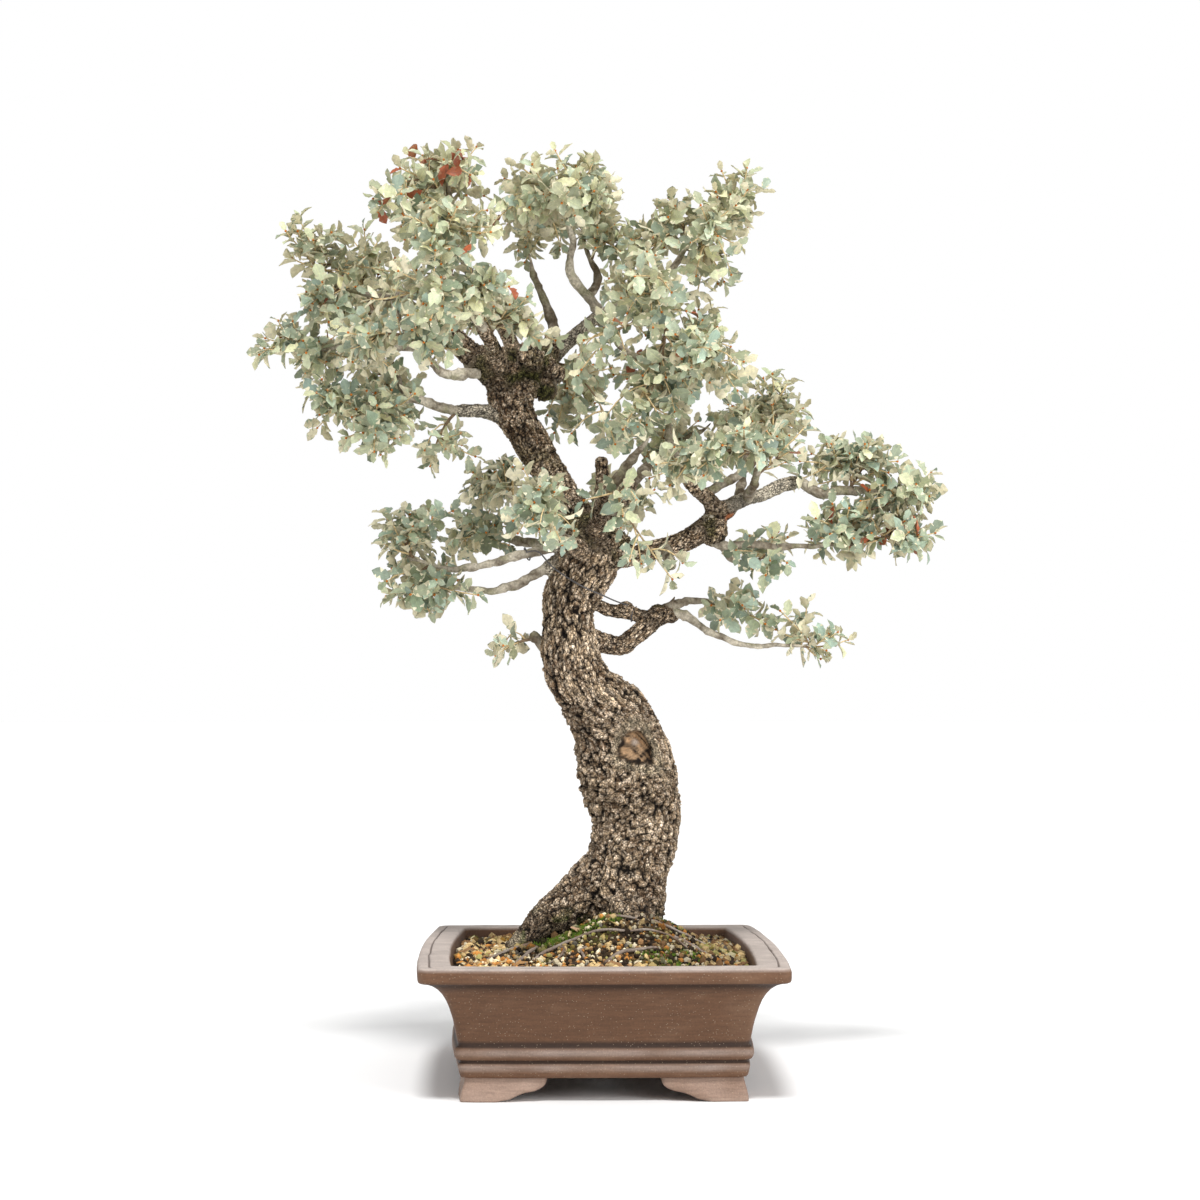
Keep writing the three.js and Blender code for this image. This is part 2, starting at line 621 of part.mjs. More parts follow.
function makeSoil(hole) {
  const wall = innerProfile.filter(([, height]) => height < soilEdgeHeight).reverse();
  wall[0] = [wall[0][0], floorTop + clearance];
  const rings = ringsOf([...wall, [soilEdgeInset, soilEdgeHeight]], clearance);
  const edge = rings.at(-1);
  for (let ring = 1; ring <= soilRings; ring += 1) {
    const share = 1 - ring / (soilRings + soilInnerRing);
    rings.push(edge.map((point, i) => {
      const x = moundCentre[0] + (point.x - moundCentre[0]) * share + (draw(i, ring, 1) - 0.5) * soilGrain;
      const y = moundCentre[1] + (point.y - moundCentre[1]) * share + (draw(i, ring, 2) - 0.5) * soilGrain;
      return new THREE.Vector3(x, y, soilHeight(x, y) + (draw(i, ring, 3) - 0.5) * soilGrain);
    }));
  }
  const pocketSize = meshSize + 2 * clearance;
  const pockets = [-1, 1].map((sign) => {
    const pocket = new THREE.BoxGeometry(pocketSize, pocketSize, 2 * meshThickness + 4 * clearance);
    return solidOf(pocket.translate(0, sign * drainDistance, floorTop + clearance));
  });
  return wholeOf(loft(rings).subtract(join([...pockets, hole])));
}

// The places and radii of one run of the wood.
function woodRoute(name, grow = 0) {
  return wood[name].map((entry) => ({ point: seen(entry), radius: entry[3] + grow }));
}

// The trunk's route with smooth rows between the given ones.
function smoothRoute(route) {
  const curve = new THREE.CatmullRomCurve3(route.map((entry) => entry.point));
  const rows = (route.length - 1) * trunkRowsPerStep;
  const smooth = [];
  for (let row = 0; row <= rows; row += 1) {
    const place = row / trunkRowsPerStep;
    const low = Math.min(Math.floor(place), route.length - 2);
    const radius = THREE.MathUtils.lerp(route[low].radius, route[low + 1].radius, place - low);
    smooth.push({ point: curve.getPoint(row / rows), radius });
  }
  return smooth;
}

// The route without the points that lie almost straight between their neighbours.
function sparseRoute(route) {
  const kept = [route[0]];
  for (let i = 1; i + 1 < route.length; i += 1) {
    const chord = new THREE.Line3(kept.at(-1).point, route[i + 1].point);
    const nearest = chord.closestPointToPoint(route[i].point, true, new THREE.Vector3());
    if (nearest.distanceTo(route[i].point) > straightWithin) kept.push(route[i]);
  }
  kept.push(route.at(-1));
  return kept;
}

function plates(row, side, point) {
  if (point.z < barkStartHeight) return 0;
  const staggered = (row + side * 2) % 4 < 2 ? 0.5 : -0.5;
  return plateRelief * (staggered + draw(row, side, 5) - 0.5);
}

function makeBurl([across, up, depth, radius], index, grow = 0) {
  const lump = new THREE.IcosahedronGeometry(radius + grow, 1);
  const merged = mergeVertices(lump.deleteAttribute('normal').deleteAttribute('uv'), lumpWeldDistance);
  const position = merged.getAttribute('position');
  for (let i = 0; i < position.count; i += 1) {
    const point = new THREE.Vector3().fromBufferAttribute(position, i);
    point.multiplyScalar(1 + burlRelief * (draw(i, index, 7) - 0.5));
    position.setXYZ(i, point.x, point.y, point.z);
  }
  const place = seen([across, up, depth]);
  return solidOf(merged.translate(place.x, place.y, place.z));
}

function makeWood() {
  const parts = burls.map((burl, index) => makeBurl(burl, index));
  for (const name of Object.keys(wood)) {
    const route = woodRoute(name);
    if (name === 'trunk') {
      parts.push(tube(smoothRoute(route), trunkSides, plates));
    } else if (name === 'upper_trunk') {
      parts.push(tube(smoothRoute(route), upperTrunkSides, plates));
    } else {
      parts.push(tube(sparseRoute(route), route[0].radius > twigRadius ? branchSides : twigSides));
    }
  }
  const place = seen(woundCentre);
  const callus = new THREE.TorusGeometry(
    woundRingRadius, woundRingThickness, woundRingSides, woundRingSteps);
  callus.rotateX(Math.PI / 2).translate(place.x, place.y, place.z);
  const hollow = new THREE.IcosahedronGeometry(woundHollowRadius, 1);
  hollow.scale(1, woundHollowDepth / woundHollowRadius, 1).translate(place.x, place.y, place.z);
  return wholeOf(join([...parts, solidOf(callus)]).subtract(solidOf(hollow)));
}

// The route with its last point moved on by a distance.
function lengthened(route, distance) {
  const end = route.at(-1);
  const along = end.point.clone().sub(route.at(-2).point).normalize();
  return [...route.slice(0, -1), { ...end, point: end.point.clone().addScaledVector(along, distance) }];
}

// What the soil leaves free round the trunk's foot, the roots and their knuckle.
function makeRootSpace() {
  const space = 2 * clearance;
  const roots = Object.keys(wood).filter((name) => name.startsWith('root'));
  const parts = roots.map((name) => {
    const route = lengthened(sparseRoute(woodRoute(name, space)), space);
    return tube(route, branchSides);
  });
  const foot = smoothRoute(woodRoute('trunk', space)).filter((entry) => entry.point.z < rootSpaceTop);
  parts.push(tube(lengthened(foot.reverse(), space).reverse(), trunkSides));
  burls.forEach((burl, index) => {
    if (burl[1] < rootSpaceTop) parts.push(makeBurl(burl, index, space));
  });
  return join(parts);
}

const shootWood = Object.keys(wood).filter((name) => name !== 'trunk' && !name.startsWith('root'));

// The spot on the wood from which a shoot to the target grows, set back towards the trunk.
function foothold(target, setBack) {
  let nearest = null;
  for (const name of shootWood) {
    const route = woodRoute(name);
    const spots = [];
    let travelled = 0;
    for (let i = 0; i + 1 < route.length; i += 1) {
      const length = route[i].point.distanceTo(route[i + 1].point);
      for (let step = i === 0 ? 0 : 1; step <= footholdSteps; step += 1) {
        const share = step / footholdSteps;
        spots.push({
          point: route[i].point.clone().lerp(route[i + 1].point, share),
          radius: THREE.MathUtils.lerp(route[i].radius, route[i + 1].radius, share),
          along: route[i + 1].point.clone().sub(route[i].point).normalize(),
          travelled: travelled + length * share,
        });
      }
      travelled += length;
    }
    const close = Math.min(...spots.map((spot) => spot.point.distanceTo(target)));
    if (!nearest || close < nearest.close) nearest = { close, spots };
  }
  const cost = (spot) => spot.point.distanceTo(target) + setBackShare * spot.travelled;
  const limit = nearest.spots.at(-1).travelled - setBack;
  const allowed = nearest.spots.filter((spot) => setBack === 0 || spot.travelled <= limit);
  const offered = allowed.length > 0 ? allowed : nearest.spots;
  const choice = offered.reduce((a, b) => (cost(b) < cost(a) ? b : a));
  return { ...choice, atEnd: choice === nearest.spots.at(-1) };
}

function bend(from, control, to, share) {
  const a = from.clone().lerp(control, share);
  const b = control.clone().lerp(to, share);
  return a.lerp(b, share);
}

// The route of one shoot, with its last short step inside the rosette of leaves.
function shootRoute(from, control, to, radii, steps) {
  const route = [];
  for (let step = 0; step < steps; step += 1) {
    const share = step / steps;
    const radius = THREE.MathUtils.lerp(radii[0], radii[1], share);
    route.push({ point: bend(from, control, to, share), radius });
  }
  const along = to.clone().sub(control).normalize();
  route.push({ point: to.clone().addScaledVector(along, -rosetteDepth), radius: radii[1] });
  route.push({ point: to.clone(), radius: radii[1] });
  return { route, along };
}

// A direction square to a shoot's end, turned by an angle from the level one.
function endAcross(along, angle) {
  const reference = Math.abs(along.z) > nearlyUpright ? xAxis : zAxis;
  const level = new THREE.Vector3().crossVectors(along, reference).normalize();
  return level.applyAxisAngle(along, angle);
}

// The leaf on one side of a shoot's end.
function leafPlace({ route, along }, spray, tip, side, turn) {
  const angle = turn + ((side + 0.5) / shootSides) * Math.PI * 2;
  const outward = endAcross(along, angle);
  const spread = 2 * draw(spray, tip * drawsPerShoot + side, 12) - 1;
  const tilt = THREE.MathUtils.degToRad(leafTilt + leafTiltSpread * spread);
  const direction = along.clone().multiplyScalar(Math.cos(tilt)).addScaledVector(outward, Math.sin(tilt));
  const up = along.clone().addScaledVector(zAxis, leafLift);
  up.addScaledVector(direction, -up.dot(direction)).normalize();
  const longer = 2 * draw(spray, tip * drawsPerShoot + side, 13) - 1;
  const length = leafLength + leafLengthSpread * longer;
  const base = route.at(-1).point.clone().addScaledVector(along, -rosetteDepth / 2);
  return { base, along: direction, up, length };
}

function boxesMeet(a, b) {
  for (let axis = 0; axis < 3; axis += 1) {
    if (a.min[axis] > b.max[axis] || b.min[axis] > a.max[axis]) return false;
  }
  return true;
}

function isClear(body, others) {
  const box = body.boundingBox();
  return others.every((other) => !boxesMeet(box, other.box) || body.intersect(other.body).isEmpty());
}

// The routes of a spray's stem and side shoots, as they grow from a spot on the wood. A later attempt
// starts further back and swings to another side.
function sprayRoutes(tips, attempt, foot, offset) {
  const targets = tips.map(seen);
  const reach = foot.point.distanceTo(targets[0]);
  const heading = targets[0].clone().sub(foot.point).normalize();
  const start = foot.along.clone().multiplyScalar(foot.atEnd ? 1 : sideStemShare);
  start.add(heading).normalize();
  const swing = new THREE.Vector3().crossVectors(heading, zAxis).normalize();
  const rise = new THREE.Vector3().crossVectors(swing, heading);
  start.addScaledVector(swing, swings[attempt % swings.length][0]);
  start.addScaledVector(rise, swings[attempt % swings.length][1]).normalize();
  const from = foot.point.clone().addScaledVector(start, offset);
  const control = from.clone().addScaledVector(start, reach * stemPull);
  const shoots = [shootRoute(from, control, targets[0], [stemRadius, tipRadius], stemSteps)];
  targets.slice(1).forEach((target, i) => {
    const share = forkShare - forkStep * i;
    const fork = bend(from, control, targets[0], share);
    const onward = bend(from, control, targets[0], share + forkLookAhead).sub(fork).normalize();
    const middle = fork.clone().addScaledVector(onward, fork.distanceTo(target) * forkPull);
    shoots.push(shootRoute(fork, middle, target, [tipRadius, tipRadius], shootSteps));
  });
  return shoots;
}

function shootSolid(shoot, turn = 0, leaves = []) {
  return loft(sections(shoot.route, shootSides, () => 0, endAcross(shoot.along, turn)), leaves);
}

// The shoots of a spray, with the butt of the stem just off the wood.
function seatShoots(tips, attempt, woodBody) {
  const foot = foothold(seen(tips[0]), Math.floor(attempt / swings.length) * setBackStep);
  let offset = foot.atEnd ? clearance : foot.radius * seatStartShare;
  let shoots = sprayRoutes(tips, attempt, foot, offset);
  let gap = shootSolid(shoots[0]).minGap(woodBody, seatReach);
  while (gap < clearance && offset < foot.radius + seatReach) {
    offset += seatStep;
    shoots = sprayRoutes(tips, attempt, foot, offset);
    gap = shootSolid(shoots[0]).minGap(woodBody, seatReach);
  }
  return { shoots, seated: gap >= clearance && gap < widestSeatGap };
}

// The rosette of a shoot: the turn that keeps most of its leaves clear of the other pieces.
function rosette(shoot, spray, tip, obstacles) {
  let best = { turn: 0, leaves: [], count: -1 };
  for (let attempt = 0; attempt < rosetteAttempts && best.count < shootSides; attempt += 1) {
    const turn = draw(spray, tip, 11) * Math.PI * 2 + attempt * rosetteTurn;
    const leaves = [];
    for (let side = 0; side < shootSides; side += 1) {
      const leaf = leafPlace(shoot, spray, tip, side, turn);
      leaves.push(isClear(bladeSolid(leaf, leafClearance), obstacles) ? leaf : null);
    }
    const count = leaves.filter(Boolean).length;
    if (count > best.count) best = { turn, leaves, count };
  }
  return best;
}

// A leaf's blade as a solid of its own, for keeping it clear of the other pieces.
function bladeSolid(leaf, grown) {
  const { rim, top, bottom } = bladePoints(leaf, grown);
  const points = [leaf.base, ...rim, top, bottom];
  const triangles = [];
  for (let i = 0; i <= rim.length; i += 1) {
    const next = (i + 1) % (rim.length + 1);
    triangles.push([i, next, rim.length + 1], [next, i, rim.length + 2]);
  }
  return solid(points, triangles);
}

function makeSpray(tips, spray, others, woodBody) {
  const obstacles = [...others, { body: woodBody, box: woodBody.boundingBox() }];
  for (let attempt = 0; attempt < sprayAttempts; attempt += 1) {
    const { shoots, seated } = seatShoots(tips, attempt, woodBody);
    if (seated && isClear(join(shoots.map((shoot) => shootSolid(shoot))), obstacles)) {
      return join(shoots.map((shoot, tip) => {
        const { turn, leaves } = rosette(shoot, spray, tip, obstacles);
        return shootSolid(shoot, turn, leaves);
      }));
    }
  }
  return null;
}

// A loop of wire round a branch, at a share of the way along one of its straight runs, wound through a
// turn from an angle.
function wireLoop({ round: [name, run, place], angle: startAngle, turn }) {
  const [from, to] = sparseRoute(woodRoute(name)).slice(run, run + 2);
  const centre = from.point.clone().lerp(to.point, place);
  const along = to.point.clone().sub(from.point).normalize();
  const across = new THREE.Vector3().crossVectors(along, zAxis).normalize();
  const other = new THREE.Vector3().crossVectors(across, along);
  const reach = THREE.MathUtils.lerp(from.radius, to.radius, place) + wireRadius + 2 * clearance;
  const points = [];
  for (let step = 0; step <= wireLoopSteps; step += 1) {
    const share = step / wireLoopSteps;
    const angle = startAngle + share * turn;
    points.push(centre.clone()
      .addScaledVector(across, Math.cos(angle) * reach)
      .addScaledVector(other, Math.sin(angle) * reach)
      .addScaledVector(along, (share - 0.5) * wireLoopPitch));
  }
  return points;
}

function makeWire() {
  const points = [...wireLoop(wireLoops.start), ...wireRun.map(seen), ...wireLoop(wireLoops.end)];
  return tube(points.map((point) => ({ point, radius: wireRadius })), wireSides);
}

const looks = {
  stoneware: new THREE.MeshStandardMaterial({ color: 0x78604f, roughness: 0.75, metalness: 0 }),
  soil: new THREE.MeshStandardMaterial({ color: 0xa98a5b, roughness: 1, metalness: 0 }),
  bark: new THREE.MeshStandardMaterial({ color: 0x6f6353, roughness: 0.95, metalness: 0 }),
  leaf: new THREE.MeshStandardMaterial({ color: 0x8a9c86, roughness: 0.6, metalness: 0 }),
  wire: new THREE.MeshStandardMaterial({ color: 0x3b3a3a, roughness: 0.5, metalness: 0.7 }),
  plastic: new THREE.MeshStandardMaterial({ color: 0x1e1e1e, roughness: 0.6, metalness: 0 }),
};

const bonsai = new THREE.Group();
bonsai.name = 'holm_oak_bonsai';

function addPart(name, body, material) {
  const mesh = new THREE.Mesh(geometryOf(body), material);
  mesh.name = name;
  bonsai.add(mesh);
}

const woodBody = makeWood();
const wireBody = makeWire();
addPart('pot', makePot(), looks.stoneware);
addPart('drain_mesh_front', makeDrainMesh(-drainDistance), looks.plastic);
addPart('drain_mesh_back', makeDrainMesh(drainDistance), looks.plastic);
addPart('soil', makeSoil(makeRootSpace()), looks.soil);
addPart('trunk_and_branches', woodBody, looks.bark);
addPart('guy_wire', wireBody, looks.wire);

const placed = [{ body: wireBody, box: wireBody.boundingBox() }];
sprays.forEach((tips, index) => {
  const body = makeSpray(tips, index, placed, woodBody);
  if (!body) return;
  placed.push({ body, box: body.boundingBox() });
  addPart(`leafy_spray_${String(index + 1).padStart(2, '0')}`, body, looks.leaf);
});

export default bonsai;
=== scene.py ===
"""Looks of the holm oak bonsai: bark, leaves, unglazed pot, gritty soil and what grows on it."""
import math
from itertools import product
from types import SimpleNamespace

import bmesh
import bpy
import numpy as np
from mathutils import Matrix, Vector


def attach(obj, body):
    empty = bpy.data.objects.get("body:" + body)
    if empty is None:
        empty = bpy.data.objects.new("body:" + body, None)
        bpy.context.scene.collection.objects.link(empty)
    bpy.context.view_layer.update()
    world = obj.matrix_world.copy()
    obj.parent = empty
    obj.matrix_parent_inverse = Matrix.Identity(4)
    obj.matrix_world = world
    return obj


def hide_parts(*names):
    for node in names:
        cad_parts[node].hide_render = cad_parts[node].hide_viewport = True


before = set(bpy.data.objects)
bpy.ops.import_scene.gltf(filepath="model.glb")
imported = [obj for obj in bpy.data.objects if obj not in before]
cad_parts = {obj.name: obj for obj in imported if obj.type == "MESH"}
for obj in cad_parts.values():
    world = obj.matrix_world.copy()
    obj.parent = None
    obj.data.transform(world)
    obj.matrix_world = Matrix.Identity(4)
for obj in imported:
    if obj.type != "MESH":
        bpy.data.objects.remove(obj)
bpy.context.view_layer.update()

MM = 0.001

# The pot, in millimetres, as the part has it.
RIM_HALF_WIDTH = 140
RIM_HALF_LENGTH = 196
LONG_SIDE_BOW = 5.5
SHORT_SIDE_BOW = 2.5
CORNER_RADIUS = 9
FLOOR_TOP = 26
DRAIN_RADIUS = 13
DRAIN_DISTANCE = 92

# The soil and its mound.
SOIL_EDGE = 92.5
SOIL_INSET = 27
MOUND_HEIGHT = 40
MOUND_CENTRE = (22, -28)
MOUND_SPREAD = (58, 74)

# The eye of the photograph, from which the wood and the tips below are laid out.
EYE_DISTANCE = 2161
EYE_HEIGHT = 300
EYE_ACROSS = -46

# Runs of the wood: places as [across, up, depth, radius].
WOOD = {
    "trunk": [
        [16, 78, 0, 29.5], [17, 102, 0, 31], [18, 121, 0, 32], [19, 137, 0, 33.5], [21, 152, 2, 34.5],
        [25, 170, 5, 34.5], [28, 188, 8, 35], [30, 209, 10, 36], [26, 229, 10, 39.5], [22, 247, 8, 40],
        [17, 266, 4, 37], [11, 282, 0, 33.5], [0, 298, -5, 28.5], [-12, 313, -10, 24.5],
        [-21, 330, -14, 24.5], [-25, 348, -16, 23.5], [-26, 371, -14, 20.5], [-24, 387, -10, 21],
        [-17, 402, -6, 23], [-9, 417, -2, 25.5], [-2, 431, 0, 24],
    ],
    "upper_trunk": [
        [-4, 426, 0, 18], [-17, 450, 4, 15], [-30, 473, 9, 13], [-43, 493, 14, 13], [-53, 510, 18, 14.5],
        [-63, 527, 20, 15.5], [-70, 541, 20, 17], [-72, 556, 18, 20.5], [-70, 571, 16, 20.5],
    ],
    "root_left": [
        [11, 167, 0, 24.5], [-7, 148, -4, 23], [-27, 133, -8, 19], [-44, 122, -12, 15],
        [-57, 111, -16, 10.5], [-73, 98, -22, 7.5],
    ],
    "root_front": [[17, 135, -10, 24.5], [24, 119, -34, 19.5], [29, 102, -56, 13], [34, 86, -72, 8]],
    "root_right": [[30, 139, 10, 16], [39, 121, 14, 13], [52, 102, 20, 9], [68, 86, 28, 5.5]],
    "root_back": [[13, 139, 20, 21.5], [2, 119, 44, 16.5], [-11, 100, 66, 10.5]],
    "leader": [
        [-80, 562, 14, 10.5], [-99, 581, 8, 10.5], [-114, 595, 2, 9], [-125, 611, -4, 7.5],
        [-130, 632, -8, 6.5], [-128, 652, -8, 5.5], [-122, 673, -6, 5], [-118, 691, -3, 4],
        [-122, 710, 0, 3.5], [-125, 729, 2, 2.5],
    ],
    "leader_back": [[-124, 663, -6, 4], [-126, 674, 20, 3.5], [-129, 688, 48, 3], [-131, 701, 72, 2.5]],
    "crown_front": [
        [-81, 576, 0, 7.5], [-89, 595, -35, 5.5], [-99, 611, -65, 5], [-112, 632, -95, 4.5],
        [-126, 652, -118, 3.5], [-137, 669, -132, 3],
    ],
    "crown_back": [
        [-65, 576, 34, 8], [-71, 595, 62, 6.5], [-81, 617, 85, 5.5], [-94, 638, 105, 5],
        [-106, 658, 122, 4], [-116, 674, 135, 3],
    ],
    "upper_left": [
        [-131, 631, -8, 4], [-151, 635, -14, 3.5], [-164, 637, -18, 3.5], [-173, 634, -20, 3],
        [-196, 639, -22, 3], [-211, 643, -20, 2.5], [-224, 651, -15, 2],
    ],
    "left_high": [
        [-99, 573, 0, 5.5], [-116, 571, -8, 4.5], [-130, 573, -14, 4], [-139, 582, -18, 3.5],
        [-149, 591, -20, 3.5], [-164, 594, -20, 3.5], [-176, 590, -20, 3], [-189, 584, -14, 3],
        [-208, 594, -8, 2.5], [-224, 592, -4, 2.5], [-240, 590, 0, 2],
    ],
    "left_front": [[-144, 587, -20, 3.5], [-152, 595, -50, 3], [-162, 607, -80, 3], [-170, 622, -105, 2.5]],
    "left_back": [[-164, 594, -18, 3], [-170, 601, 8, 3], [-178, 611, 42, 2.5], [-185, 623, 74, 2.5]],
    "left_low": [
        [-81, 538, 16, 7.5], [-98, 541, 12, 5.5], [-117, 541, 8, 5], [-135, 545, 4, 4.5], [-154, 550, 0, 4],
        [-167, 546, 4, 3.5], [-181, 543, 8, 3], [-196, 542, 8, 2.5], [-209, 541, 8, 2],
    ],
    "left_low_rise": [[-157, 551, 2, 3.5], [-162, 559, 14, 3], [-167, 573, 30, 2.5]],
    "stub_up": [
        [-47, 578, 22, 8], [-41, 591, 26, 7.5], [-37, 607, 30, 5.5], [-41, 623, 32, 4], [-48, 639, 32, 3.5],
        [-53, 654, 30, 3.5],
    ],
    "right_crown": [
        [-48, 573, 24, 8], [-35, 589, 34, 6.5], [-19, 604, 38, 5.5], [-1, 619, 34, 5.5], [7, 624, 30, 5],
        [17, 627, 26, 4.5], [29, 632, 22, 4.5], [39, 637, 18, 4], [47, 644, 14, 4], [57, 656, 10, 3.5],
        [66, 667, 6, 3.5], [72, 678, 4, 3], [84, 687, 4, 2.5], [94, 694, 8, 2.5], [108, 703, 12, 2],
    ],
    "crown_fork": [
        [1, 622, 34, 4.5], [-7, 633, 32, 4], [-16, 643, 29, 4], [-22, 652, 26, 4.5], [-25, 666, 22, 3.5],
        [-21, 681, 18, 3.5], [-25, 696, 12, 3], [-22, 710, 6, 2.5],
    ],
    "crown_fork_right": [
        [-9, 633, 34, 4], [-1, 651, 38, 3.5], [-6, 666, 40, 3], [-11, 681, 44, 2.5], [-12, 696, 46, 2.5],
    ],
    "right_hang": [
        [1, 617, 36, 4], [16, 597, 30, 3.5], [29, 587, 22, 3], [44, 579, 12, 3], [56, 572, 4, 3],
        [71, 570, -4, 2.5], [84, 570, -10, 2.5], [98, 576, -12, 2],
    ],
    "right_front": [
        [29, 630, 20, 4], [37, 627, -8, 3.5], [46, 622, -38, 3], [55, 614, -66, 3], [64, 604, -90, 2.5],
    ],
    "right_back": [
        [11, 624, 32, 4], [22, 627, 56, 4], [35, 622, 80, 3.5], [47, 609, 96, 3], [57, 595, 104, 2.5],
    ],
    "centre_stub": [[-2, 439, 0, 7.5], [-1, 463, -10, 5.5], [2, 483, -16, 5.5], [1, 502, -20, 5]],
    "mid_front": [
        [-4, 436, -16, 8], [-1, 455, -44, 6.5], [6, 474, -68, 5.5], [16, 490, -88, 4.5],
        [30, 507, -102, 3.5],
    ],
    "mid_back": [
        [2, 439, 18, 8], [14, 459, 48, 6.5], [27, 479, 74, 5.5], [42, 497, 94, 4.5], [62, 512, 108, 4],
        [83, 523, 118, 3],
    ],
    "left_top": [[-22, 449, -2, 5.5], [-40, 457, -8, 4.5], [-55, 463, -4, 4], [-68, 468, 2, 3]],
    "left_front_low": [
        [-14, 425, -24, 7.5], [-25, 432, -52, 5.5], [-36, 440, -76, 4.5], [-44, 451, -92, 3.5],
    ],
    "left_back_low": [
        [-12, 422, 22, 7.5], [-29, 426, 44, 5.5], [-48, 431, 64, 4.5], [-69, 435, 80, 4], [-86, 439, 90, 3],
    ],
    "left_arm": [
        [-22, 418, -4, 9], [-35, 415, -8, 7.5], [-45, 410, -12, 5.5], [-57, 404, -14, 4],
        [-73, 396, -14, 4], [-86, 393, -12, 3.5], [-108, 394, -8, 3], [-126, 395, -6, 2.5],
    ],
    "left_up_arm": [
        [-19, 430, -2, 8], [-35, 430, -10, 5.5], [-53, 425, -18, 4.5], [-71, 420, -22, 4],
        [-89, 415, -24, 3.5], [-108, 412, -24, 3.5], [-125, 411, -20, 3], [-139, 414, -14, 2.5],
        [-152, 419, -8, 2],
    ],
    "right_main": [
        [1, 422, -4, 10.5], [25, 421, -14, 8.5], [40, 426, -18, 8], [55, 429, -20, 8], [72, 435, -20, 8.5],
        [86, 444, -18, 9], [96, 454, -16, 9],
    ],
    "right_arm": [
        [93, 451, -16, 8], [106, 462, -12, 6.5], [121, 469, -8, 5.5], [134, 472, -4, 5.5],
        [148, 479, 0, 5.5], [164, 483, 2, 5], [174, 477, 2, 4.5], [185, 472, 0, 4], [196, 476, -2, 4],
        [208, 476, -2, 4], [219, 476, -2, 3.5], [232, 474, -1, 3], [245, 473, 0, 2.5],
    ],
    "arm_front": [[122, 469, -10, 5], [126, 479, -34, 4], [129, 490, -58, 3.5], [134, 502, -78, 2.5]],
    "arm_back": [
        [116, 468, -6, 5], [117, 479, 24, 4], [120, 492, 56, 3.5], [122, 505, 84, 3], [124, 517, 106, 2.5],
    ],
    "left_fork": [
        [96, 458, -16, 7.5], [89, 469, -20, 6], [79, 477, -22, 5.5], [71, 486, -22, 5], [67, 498, -20, 4.5],
        [59, 512, -14, 4], [57, 527, -8, 3.5], [60, 541, -4, 3],
    ],
    "fork_right": [
        [86, 472, -20, 4.5], [106, 484, -12, 4], [122, 494, -4, 3.5], [135, 509, 6, 3], [142, 523, 14, 2.5],
    ],
    "right_front_low": [[52, 428, -24, 5.5], [55, 423, -48, 4.5], [57, 417, -72, 4], [57, 412, -92, 3]],
    "right_low": [
        [86, 440, -22, 5.5], [101, 431, -18, 4], [121, 431, -14, 3.5], [140, 430, -10, 3.5],
        [160, 430, -6, 3], [185, 430, -4, 2.5], [206, 431, -2, 2.5], [226, 435, 0, 2],
    ],
    "right_low_under": [[96, 434, -18, 4], [103, 425, -6, 3.5], [112, 418, 4, 3], [124, 417, 8, 2.5]],
    "loop_top": [
        [-13, 385, 0, 6.5], [-1, 381, 6, 5.5], [7, 377, 10, 5.5], [16, 376, 12, 5.5], [28, 374, 12, 5.5],
        [39, 371, 10, 5.5], [50, 373, 8, 6],
    ],
    "loop_low": [
        [-14, 354, -8, 11.5], [-1, 351, -2, 8.5], [11, 348, 2, 7.5], [19, 348, 4, 7.5], [27, 354, 6, 7.5],
        [36, 361, 8, 7.5], [44, 367, 8, 7], [51, 374, 8, 6.5],
    ],
    "low_right": [
        [52, 374, 8, 5.5], [63, 374, 4, 4.5], [73, 371, 0, 4], [81, 365, -4, 3.5], [98, 355, -8, 3.5],
        [114, 350, -10, 3], [127, 348, -8, 3], [143, 348, -6, 2.5], [160, 348, -4, 2],
    ],
    "low_right_rise": [[53, 376, 10, 4.5], [64, 382, 15, 4], [76, 385, 20, 3.5], [91, 383, 26, 3]],
    "cut_stub": [[-35, 336, -14, 5.5], [-46, 347, -14, 4.5], [-57, 356, -14, 4]],
}

# Swellings of the wood, and small knuckles on its bark: [across, up, depth, radius].
BURLS = [
    [-69, 573, 18, 24], [-46, 580, 22, 12.5], [-44, 559, 16, 10], [-93, 581, 6, 13.5], [-11, 434, 0, 25.5],
    [11, 430, -6, 15], [93, 442, -18, 12], [50, 373, 8, 9], [-50, 122, -13, 9.5], [36, 270, 4, 16],
    [-60, 584, 2, 13], [-36, 572, 12, 8], [-30, 430, -14, 9], [-12, 243, -8, 8], [-10, 229, 0, 7],
    [-7, 253, -12, 6], [46, 146, -6, 8], [30, 128, -30, 11], [-38, 128, -22, 9], [12, 118, -40, 9],
    [60, 372, 6, 6], [22, 378, 8, 6.5], [104, 460, -16, 8], [80, 440, -26, 8], [-62, 560, 2, 12],
]

# The old cut on the trunk: a hollow of bare wood in a callus ring.
WOUND_CENTRE = (29, 263, -33)
WOUND_RADIUS = 14

